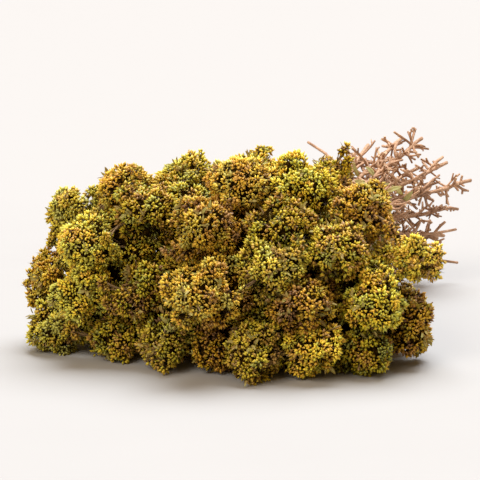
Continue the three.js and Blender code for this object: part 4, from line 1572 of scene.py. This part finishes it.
    def stalks(self, clusters: list[Cluster]) -> Shell:
        """The axis, the side branches, and thin stalks that spread under every cluster.

        Args:
            clusters: the spray's clusters; the first is its head.

        Returns:
            The stalks as one shell with the values grain, end.
        """
        rng = self.random
        n = 18
        axis = np.linspace(self.root, self.head - 3 * self.along, n)
        sway = np.sin(np.linspace(0, 5, n) + ROUND * draw(self.number, 3)) * np.sin(np.linspace(0, np.pi, n))
        axis = axis + 0.5 * sway[:, None] * self.side
        radii = np.linspace(0.95, 0.5, n) * (1 + 0.25 * (np.arange(n) % 4 == 2))
        shells = [tubes(axis[None], radii[None], 7, 0.05, self.number)]
        for index, cluster in enumerate(clusters):
            if cluster.thick < math.inf:  # the collar has no branch of its own
                continue
            whole = index == 0 and not self.form.loose
            count = 6 if whole else 3
            turn = 2 * np.pi * np.arange(count) / count + rng.uniform(0, 0.5, count)
            polar = np.radians(rng.uniform(98, 132, count))
            direction = tilted(cluster.facing, polar, turn)
            kept = self.span(cluster, direction)[0]
            end = cluster.centre + direction * (0.62 * kept)[:, None]
            if not whole:
                inner = cluster.centre - 0.2 * cluster.widest * cluster.facing
                pull = cluster.root + 0.55 * np.linalg.norm(inner - cluster.root) * self.along
                branch = bezier(cluster.root[None], pull[None], inner[None], 7)
                shells.append(tubes(branch, np.linspace(0.72, 0.48, 7)[None], 5, 0.04, 50 + index))
                base = np.tile(branch[0, 4], (count, 1))
            else:
                base = self.head - self.along * rng.uniform(12, 22, count)[:, None]
            pull = base + cluster.facing * (0.4 * np.linalg.norm(end - base, axis=1))[:, None]
            paths = bezier(base, pull, end, 4)
            shells.append(tubes(paths, np.tile(np.linspace(0.5, 0.36, 4), (count, 1)), 4, 0.0, 90 + index))
        return Shell.joined(shells)

    def wisps(self) -> Shell:
        """A few bare thin twigs whose ends show between the head's groups of spikelets.

        Returns:
            The twigs as one shell with the values grain, end.
        """
        rng, head, count = self.random, self.crown(), 3
        polar = rng.uniform(0.3, 1.4, count)
        turn = rng.uniform(0, ROUND, count)
        start = tilted(head.facing, polar + rng.uniform(-0.3, 0.3, count), turn + 0.35)
        end = tilted(head.facing, polar, turn)
        lift = -6.0 if self.form.loose else 0.5
        start = head.centre + start * np.maximum(self.span(head, start)[0] - 11, 2)[:, None]
        end = head.centre + end * np.maximum(self.span(head, end)[0] + lift, 3)[:, None]
        pull = (start + end) / 2 + rng.normal(0, 0.7, (count, 3))
        paths = bezier(start, pull, end, 6)
        return tubes(paths, np.tile(np.linspace(0.55, 0.36, 6), (count, 1)), 5, 0.05, 300 + self.number)

    def leaves(self) -> Shell:
        """Small dried leaves in fives between the head's spikelets, and a pair at the spray's foot.

        Returns:
            The leaves as one shell.
        """
        rng, head, count = self.random, self.crown(), self.form.leafy
        bunches = -(-count // 5)
        polar = np.repeat(rng.uniform(0.1, 1.25, bunches), 5)[:count] + rng.normal(0, 0.09, count)
        turn = np.repeat(rng.uniform(0, ROUND, bunches), 5)[:count] + rng.normal(0, 0.09, count)
        direction = tilted(head.facing, polar, turn)
        length = rng.uniform(3.6, 6.4, count)
        kept = self.span(head, direction)[0] * (0.7 if self.form.loose else 1)
        root = head.centre + direction * np.maximum(kept - 0.55 * length, 1)[:, None]
        around = 2 * np.pi * np.arange(count) / 5 + rng.uniform(0, 1, count)
        along = tilted(unit(direction + 0.3 * head.facing), rng.uniform(0.2, 1.1, count), around)
        up = unit(direction + rng.normal(0, 0.4, direction.shape))
        parts = [(root, along, up, length, rng.uniform(0.26, 0.4, count) * length)]
        if draw(self.number, 30) < 0.4:
            node = self.root + 9 * self.along
            for half in (0, 180):
                e = self.spoke(360 * draw(self.number, 31) + half)
                grown = unit(e + 0.7 * self.along)
                size = 11 * (0.8 + 0.4 * draw(self.number, 32 + half))
                kept = self.bunch.reach(self.number, node[None], grown[None], size + 1.0)[0] - 1
                if kept > 0.5 * size:
                    up = unit(self.along - grown * (self.along @ grown))
                    parts.append((node[None], grown[None], up[None], np.array([min(size, kept)]), [5.0]))
        root, along, up, length, width = (np.concatenate(column) for column in zip(*parts))
        fold, curl = rng.uniform(0.25, 0.8, len(root)), rng.uniform(-0.05, 0.3, len(root))
        return LeafShape(steps=5).shell(root, along, up, length, width, fold, curl)

    def build(self, finishes: dict[str, Material]) -> list[Piece]:
        """Makes the spray's pieces, which stand for its node of the frame.

        Args:
            finishes: the materials by name.

        Returns:
            The flowers, their packed inside, the stalks and the leaves.
        """
        tone = self.form.tone.value
        clusters = self.clusters()
        flowers = []
        for cluster in clusters:
            grown = self.spikelets_of(cluster, self.lumps_of(cluster))
            others = [other for other in clusters if other is not cluster]
            flowers += self.bracts(grown.only(~self.buried(grown.tips, others)))
        stalks = Shell.joined([self.stalks(clusters), self.wisps()])
        inside = Shell.joined([self.heart(cluster) for cluster in clusters])
        parts = (
            ("flowers", Shell.joined(flowers), finishes[tone], tone),
            # the inside piece carries painted shade: it is coloured darker than the bracts under the
            # spikelets
            ("inside", inside, finishes["inside"], tone),
            ("stalks", stalks, finishes["stalk"], "woody_stem"),
            ("leaves", self.leaves(), finishes["small leaf"], GREEN.value),
        )
        return [self.bunch.dress(f"spray_{self.number + 1:02d}", *part) for part in parts]


# Stems


@dataclass
class Stem:
    """A bare woody stem: its tube with swollen nodes, the stubs of side twigs and a leaf or two.

    Attributes:
        number: the stem, from 0.
        bunch: where it runs.
        tip_radius: at the spray's end, mm.
        tie_radius: at the tie.
        cut_radius: at the cut end.
        spacing: between the stem's nodes.
        tangle: how far twigs reach in among the neighbouring stem's.
        stub_start: how far behind the tie the first stubs may stand.
        stub_spacing: between those pairs.
        leafy: between which distances along leaves stayed on.
        leaf_length: the least and the greatest.
        leaf_width: the least and the greatest.
    """

    number: int
    bunch: Bunch
    tip_radius: float = 0.95
    tie_radius: float = 1.15
    cut_radius: float = 1.35
    spacing: float = 7.5
    tangle: float = 7.0
    stub_start: float = 34.0
    stub_spacing: float = 30.0
    leafy: tuple[float, float] = (-20.0, 92.0)
    leaf_length: tuple[float, float] = (8.0, 14.0)
    leaf_width: tuple[float, float] = (3.2, 5.2)

    def __post_init__(self) -> None:
        """Reads the stem's two ends."""
        level = self.bunch.levels[self.number]
        self.neck, self.cut = float(level[0]), float(level[-1])
        self.random = np.random.default_rng(9000 + self.number)

    def at(self, along: Array) -> Array:
        """Points on the stem's middle, a smooth course that sways a little behind the tie.

        Args:
            along: distances along, (n,).

        Returns:
            The points, (n, 3).
        """
        window = np.linspace(-9, 9, 7)
        weight = np.cos(window / 9 * np.pi / 2) + 0.05
        ends = np.minimum(along - self.neck, self.cut - along).clip(0, 9)[:, None] / 9
        sampled = along[:, None] + window * ends
        places = self.bunch.places(sampled.ravel())[self.number].reshape(len(along), len(window), 2)
        smooth = (places * weight[None, :, None]).sum(axis=1) / weight.sum()
        settle = np.clip((along - 8) / 25, 0, 1)
        phase = ROUND * draw(self.number, 2)
        sway = np.stack([np.sin(along / 6.1 + phase), np.cos(along / 7.7 + 2 * phase)], axis=-1)
        smooth = smooth + 0.42 * settle[:, None] * sway
        return np.stack([smooth[:, 0], along, smooth[:, 1]], axis=-1)

    def nodes(self) -> Array:
        """The distances along of the stem's nodes, where twigs and leaves grew."""
        count = int((self.cut - self.neck - 14) / self.spacing)
        even = self.neck + 8 + self.spacing * np.arange(count)
        return even + self.random.uniform(-4, 4, count)

    def body(self, nodes: Array) -> Shell:
        """The stem's own tube, swollen at its nodes: radius(s) + 0.32 exp(-((s - node)/1.6)^2), and
        plain under the tie.

        Args:
            nodes: distances along.

        Returns:
            The tube.
        """
        along = np.linspace(self.neck, self.cut, max(24, int((self.cut - self.neck) / 3.2)))
        radii = [self.tip_radius, self.tie_radius, self.cut_radius]
        radius = np.interp(along, [self.neck, 0, self.cut], radii)
        swell = np.exp(-(((along[:, None] - nodes[None]) / 1.6) ** 2)).max(axis=1)
        radius = radius + 0.32 * swell * (np.abs(along) > 8)
        return tubes(self.at(along)[None], radius[None], 7, 0.06, self.number)

    def stubs(self) -> tuple[Array, ...]:
        """The longer side twigs, where the frame's stem has them.

        Returns:
            Roots, directions, lengths and radii.
        """
        found, node = [], 0
        while self.stub_start + self.stub_spacing * node < self.cut - 12:
            along = self.stub_start + self.stub_spacing * (node + 0.5 * draw(self.number, 50 + node))
            turn = 2 * math.pi * draw(self.number, 60 + node)
            for half in (0, math.pi):
                if draw(self.number, 70 + node + 7 * half) <= 0.55:
                    out = unit(np.array([math.cos(turn + half), -0.9, math.sin(turn + half)]))
                    wanted = 6 + 20 * draw(self.number, 80 + node + 7 * half)
                    found.append((along, out, wanted))
            node += 1
        if not found:
            return np.zeros((0, 3)), np.zeros((0, 3)), np.zeros(0), np.zeros(0)
        along, out, wanted = (np.array(column) for column in zip(*found))
        root = self.at(along)
        length = self.bunch.reach(self.number, root, out, wanted + SURFACE_SLACK) - SURFACE_SLACK
        use = length >= 4
        return root[use], out[use], length[use], np.full(use.sum(), 0.88)

    def spurs(self, nodes: Array) -> tuple[Array, ...]:
        """Broken twigs, in threes at the nodes behind the tie.

        Args:
            nodes: distances along.

        Returns:
            Roots, directions, lengths and radii.
        """
        rng = self.random
        bare = nodes[nodes > 12]
        rear = np.repeat(bare, 3)
        turn = np.repeat(rng.uniform(0, ROUND, len(bare)), 3) + np.tile([0, 2.1, 4.2], len(bare))
        turn = turn + rng.normal(0, 0.3, len(rear))
        slope = rng.uniform(-0.9, 1.3, len(rear))
        out = unit(np.stack([np.cos(turn), slope, np.sin(turn)], axis=-1))
        root = self.at(rear + rng.uniform(-0.6, 0.6, len(rear)))
        wanted = 3.5 + 13 * rng.random(len(rear)) ** 1.8
        length = np.minimum(wanted, self.bunch.reach(self.number, root, out, wanted) + self.tangle)
        use = (length > 2.2) & (rng.random(len(rear)) < 0.9)
        radius = rng.uniform(0.65, 1.1, len(rear))
        return root[use], out[use], length[use], radius[use]

    def forks(self) -> tuple[Array, ...]:
        """Thicker side stems that part from this one towards its cut end, where there is room, and
        the long one that a few stems have.

        Returns:
            Roots, directions, lengths and radii.
        """
        rng, count = self.random, 7
        along = self.cut - rng.uniform(14, 105, count)
        turn = rng.uniform(0, ROUND, count)
        out = unit(np.stack([0.6 * np.cos(turn), np.ones(count), 0.6 * np.sin(turn)], axis=-1))
        root = self.at(along)
        wanted = rng.uniform(12, 38, count)
        length = np.minimum(wanted, self.bunch.reach(self.number, root, out, wanted) + self.tangle + 1)
        length = np.minimum(length, (self.cut + 3 - along) / out[:, 1])
        use = length > 6
        found = [root[use], out[use], length[use], rng.uniform(0.8, 1.15, count)[use]]
        if self.number in LONG_FORKS:
            level, end = LONG_FORKS[self.number]
            start = self.at(np.array([level]))
            way = np.array([end]) - start
            size = np.linalg.norm(way, axis=1)
            more = (start, way / size[:, None], size, np.array([1.0]))
            found = [np.concatenate(pair) for pair in zip(found, more)]
        return tuple(found)

    def twigs(self, nodes: Array) -> Shell:
        """Stubs, spurs and side stems as curved tapering twigs, the long ones forked again.

        A twig runs from the stem's middle along its direction and bends by about a tenth of its
        length.

        Args:
            nodes: distances along.

        Returns:
            The twigs.
        """
        rng = self.random
        grown = zip(self.stubs(), self.spurs(nodes), self.forks())
        root, out, length, radius = (np.concatenate(column) for column in grown)
        side, up = beside(out)
        bend = side * rng.normal(0, 0.09, (len(root), 1)) + up * rng.normal(0, 0.09, (len(root), 1))
        bend = bend * length[:, None]
        paths = bezier(root, root + 0.5 * out * length[:, None] + bend, root + out * length[:, None], 4)
        taper = radius[:, None] * np.array([1.4, 1.0, 1.02, 0.94])
        shells = [tubes(paths, taper, 5, 0.05, 400 + self.number)]
        long_ = length > 6.5
        if long_.any():
            pick = np.repeat(np.nonzero(long_)[0], 2)
            share = rng.uniform(0.35, 0.85, len(pick))
            base = root[pick] + out[pick] * (share * length[pick])[:, None]
            base = base + 2 * (share * (1 - share))[:, None] * bend[pick]
            grown = tilted(out[pick], rng.uniform(0.6, 1.1, len(pick)), rng.uniform(0, ROUND, len(pick)))
            size = self.bunch.reach(self.number, base, grown, rng.uniform(2.5, 8, len(pick))) - 0.2
            keep = size > 1.5
            if keep.any():
                base, grown, size = base[keep], grown[keep], size[keep]
                paths = bezier(base, base + 0.5 * grown * size[:, None], base + grown * size[:, None], 3)
                thin = 0.86 * radius[pick][keep]
                taper = thin[:, None] * np.array([1.3, 1.0, 0.85])
                shells.append(tubes(paths, taper, 4, 0.0, 500 + self.number))
        return Shell.joined(shells)

    def leaves(self, nodes: Array) -> Shell | None:
        """Pale leaves that stayed on near the middle of the bunch.

        Args:
            nodes: distances along.

        Returns:
            The leaves, or nothing where the stem is bare.
        """
        rng = self.random
        near = nodes[(nodes > self.leafy[0]) & (nodes < self.leafy[1]) & (np.abs(nodes) > 7)]
        along = np.repeat(near, 2)
        turn = np.repeat(rng.uniform(0, ROUND, len(near)), 2) + np.tile([0, np.pi], len(near))
        out = unit(np.stack([np.cos(turn), rng.uniform(-1.0, -0.2, len(along)), np.sin(turn)], axis=-1))
        root = self.at(along)
        length = rng.uniform(*self.leaf_length, len(along))
        kept = self.bunch.reach(self.number, root, out, length + 0.5) + 3
        use = (kept > 5) & (rng.random(len(along)) < 0.6)
        if not use.any():
            return None
        root, out, length = root[use], out[use], np.minimum(kept, length)[use]
        up = unit(np.array([0, -1, 0.6]) + rng.normal(0, 0.5, root.shape))
        fold, curl = rng.uniform(0.2, 0.7, len(root)), rng.uniform(0, 0.35, len(root))
        width = rng.uniform(*self.leaf_width, len(root))
        return LeafShape().shell(root, out, up, length, width, fold, curl)

    def build(self, finishes: dict[str, Material]) -> list[Piece]:
        """Makes the stem's pieces, which stand for its node of the frame."""
        name = f"stem_{self.number + 1:02d}"
        nodes = self.nodes()
        wood = Shell.joined([self.body(nodes), self.twigs(nodes)])
        made = [self.bunch.dress(name, "wood", wood, finishes["wood"], "woody_stem")]
        leaves = self.leaves(nodes)
        if leaves is not None:
            made.append(self.bunch.dress(name, "leaves", leaves, finishes["leaf"], GREEN.value))
        return made


# The tie


@dataclass
class Tie:
    """Three wraps of thin two-ply twine round the crossing stems, with a knot and two cut tails.

    Attributes:
        bunch: the stems that it holds.
        radius: of the twine, mm.
        wraps: turns round the stems.
        lay: length of one twist of the plies.
        tail: length of a cut tail.
        clear: from a stem's middle to the inside of the wraps.
        steps: points on one turn.
        knot: what the knot's trefoil is multiplied by across, along and up.
        knot_lift: how far its middle stands above the wraps.
    """

    bunch: Bunch
    radius: float = 0.9
    wraps: int = 3
    lay: float = 5.0
    tail: float = 15.0
    clear: float = 1.45
    steps: int = 120
    knot: tuple[float, float, float] = (0.62, 0.72, 0.8)
    knot_lift: float = 1.9

    def outline(self) -> Array:
        """The convex outline round the stems at the tie, evenly spaced, with room for the twine.

        In each direction, the furthest stem plus clear and the twine's radius.

        Returns:
            Places across and up, (steps + 1, 2), the last one the first again.
        """
        places = np.concatenate([self.bunch.places(np.full(1, y))[:, 0] for y in (-3.0, 0.0, 3.0)])
        turn = np.linspace(0, 2 * np.pi, 721)
        ray = np.stack([np.cos(turn), np.sin(turn)], axis=-1)
        furthest = places[np.argmax(ray @ places.T, axis=1)]
        hull = furthest + ray * (self.clear + self.radius)
        gone = np.concatenate([[0], np.linalg.norm(np.diff(hull, axis=0), axis=1).cumsum()])
        even = np.linspace(0, gone[-1], self.steps + 1)
        return np.stack([np.interp(even, gone, hull[:, axis]) for axis in (0, 1)], axis=-1)

    def strand(self, path: Array, guide: Array, seed: int) -> Shell:
        """Two plies twisted round a path: path + radius/2 (a cos + b sin of the turn along it).

        Args:
            path: (m, 3).
            guide: a direction that is never along the path, (m, 3).
            seed: of the fibres.

        Returns:
            The plies.
        """
        tangent = unit(np.gradient(path, axis=0))
        a = unit(np.cross(guide, tangent))
        b = np.cross(tangent, a)
        gone = np.concatenate([[0], np.linalg.norm(np.diff(path, axis=0), axis=1).cumsum()])
        turn = 2 * np.pi * gone[:, None] / self.lay + np.array([[0, np.pi]])
        offset = a[:, None] * np.cos(turn)[..., None] + b[:, None] * np.sin(turn)[..., None]
        plies = path[:, None] + 0.5 * self.radius * offset
        return tubes(plies.transpose(1, 0, 2), np.full((2, len(path)), 0.56 * self.radius), 7, 0.05, seed)

    def build(self, finishes: dict[str, Material]) -> list[Piece]:
        """Makes the tie as one piece, which stands for its node of the frame.

        The knot's middle line is a trefoil: (sin t + 2 sin 2t, cos t - 2 cos 2t, -1.1 sin 3t).
        """
        loop = self.outline()
        start = int(np.argmax(loop[:, 1]))
        loop = np.roll(loop[:-1], -start, axis=0)
        steps = np.arange(self.steps * self.wraps + 1)
        width = 2 * self.radius
        along = -width * (self.wraps - 1) / 2 + width * (self.wraps - 1) * steps / steps[-1]
        wound = loop[steps % self.steps]
        path = np.stack([wound[:, 0], along, wound[:, 1]], axis=-1)
        shells = [self.strand(path, np.broadcast_to([0.0, 1.0, 0.0], path.shape), 1)]
        knot = np.array([loop[0, 0], 0, loop[0, 1] + self.knot_lift])
        t = np.linspace(0, 2 * np.pi, 61)[:-1] + 0.5
        trefoil = [np.sin(t) + 2 * np.sin(2 * t), np.cos(t) - 2 * np.cos(2 * t), -1.1 * np.sin(3 * t)]
        trefoil = knot + np.stack(trefoil, -1) * np.array(self.knot)
        shells.append(self.strand(trefoil, unit(trefoil - knot - np.array([0, 0, 9.0])), 2))
        for index, direction in enumerate(((-0.55, -0.75, 0.25), (0.7, 0.6, 0.3))):
            end = knot + self.tail * unit(np.array(direction))
            middle = (knot + end) / 2 + np.array([0, 0, 2.0])
            tail = bezier(knot[None], middle[None], end[None], 24)[0]
            shells.append(self.strand(tail, np.broadcast_to([0.1, 0.2, 1.0], tail.shape), 3 + index))
        return [self.bunch.dress("tie", "twine", Shell.joined(shells), finishes["twine"], "twine")]


# The studio


@dataclass(frozen=True)
class Sun:
    """A broad soft light that falls evenly along a direction.

    Attributes:
        name: the light's name.
        strength: watts to a square metre.
        colour: red, green, blue.
        spread: how wide the light looks, degrees.
        towards: the way it falls.
    """

    name: str
    strength: float
    colour: tuple[float, float, float]
    spread: float
    towards: tuple[float, float, float]

    def build(self) -> None:
        """Makes the light."""
        data = bpy.data.lights.new(self.name, "SUN")
        data.energy, data.color, data.angle = self.strength, self.colour, math.radians(self.spread)
        light = linked(self.name, data)
        light.rotation_euler = Vector(self.towards).to_track_quat("-Z", "Y").to_euler()


@dataclass
class Studio:
    """The pale surface, soft light from above and behind with a weaker one in front, and the camera.

    Attributes:
        eye: the camera's place, metres.
        azimuth: how far the camera stands round to the right, degrees.
        tilt: how far it looks down, degrees.
        lens: focal length for a 36 mm frame, mm.
        half: of the surface's side, metres.
        suns: the key light and the front fill.
        room: the colour of the even light of a pale room.
        room_strength: of that light.
    """

    eye: tuple[float, float, float] = (0.3082, -0.8801, 0.208)
    azimuth: float = 21.0
    tilt: float = 9.5
    lens: float = 112.5
    half: float = 40.0
    suns: tuple[Sun, ...] = (
        Sun("key", 6.15, (0.885, 0.934, 1.0), 50, (-0.02, -0.4, -1.0)),
        Sun("fill", 1.75, (1.0, 0.93, 0.84), 36, (0.26, 0.9, -0.8)),
    )
    room: tuple = linear(255, 212, 156)
    room_strength: float = 0.4

    def camera(self) -> None:
        """Sets up the camera at the photograph's viewing angle."""
        data = bpy.data.cameras.new("camera")
        data.lens, data.sensor_width = self.lens, 36
        data.clip_start, data.clip_end = 0.01, 200
        camera = linked("camera", data)
        camera.location = self.eye
        camera.rotation_euler = Euler((math.radians(90 - self.tilt), 0, math.radians(self.azimuth)))
        bpy.context.scene.camera = camera

    def surface(self) -> None:
        """A wide level square just under the bunch."""
        corners = [(x * self.half, y * self.half, 0) for x, y in ((-1, -1), (1, -1), (1, 1), (-1, 1))]
        mesh = bpy.data.meshes.new("surface")
        mesh.from_pydata(corners, [], [(0, 1, 2, 3)])
        mesh.materials.append(PALE_SURFACE.material())
        made = linked("surface", mesh)

    def light(self) -> None:
        """The two suns and the even light of the room."""
        for sun in self.suns:
            sun.build()
        world = bpy.data.worlds.new("room")
        bpy.context.scene.world = world
        world.use_nodes = True
        background = world.node_tree.nodes["Background"]
        background.inputs["Color"].default_value = self.room
        background.inputs["Strength"].default_value = self.room_strength

    def build(self) -> None:
        """Makes everything round the object, and shows colours as they are."""
        self.surface()
        self.light()
        bpy.context.scene.view_settings.view_transform = "Standard"
        bpy.context.scene.view_settings.look = "None"


def main() -> None:
    """Loads the frame, sets the studio and dresses the bunch piece by piece."""
    logging.basicConfig(level=logging.INFO, format="%(message)s")
    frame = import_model()
    studio = Studio()
    studio.camera()
    bunch = Bunch.read(frame["nodes"])
    finishes = {tone.value: finish.material() for tone, finish in FLOWER_FINISHES.items()}
    for name, finish in PLAIN_FINISHES.items():
        finishes[name] = finish.material()
    made = []
    for number in range(len(HEADS)):
        made += Spray(number, bunch).build(finishes)
        made += Stem(number, bunch).build(finishes)
    made += Tie(bunch).build(finishes)
    studio.build()
    LOG.info("%d pieces", len(made))


if __name__ == "__main__":
    main()
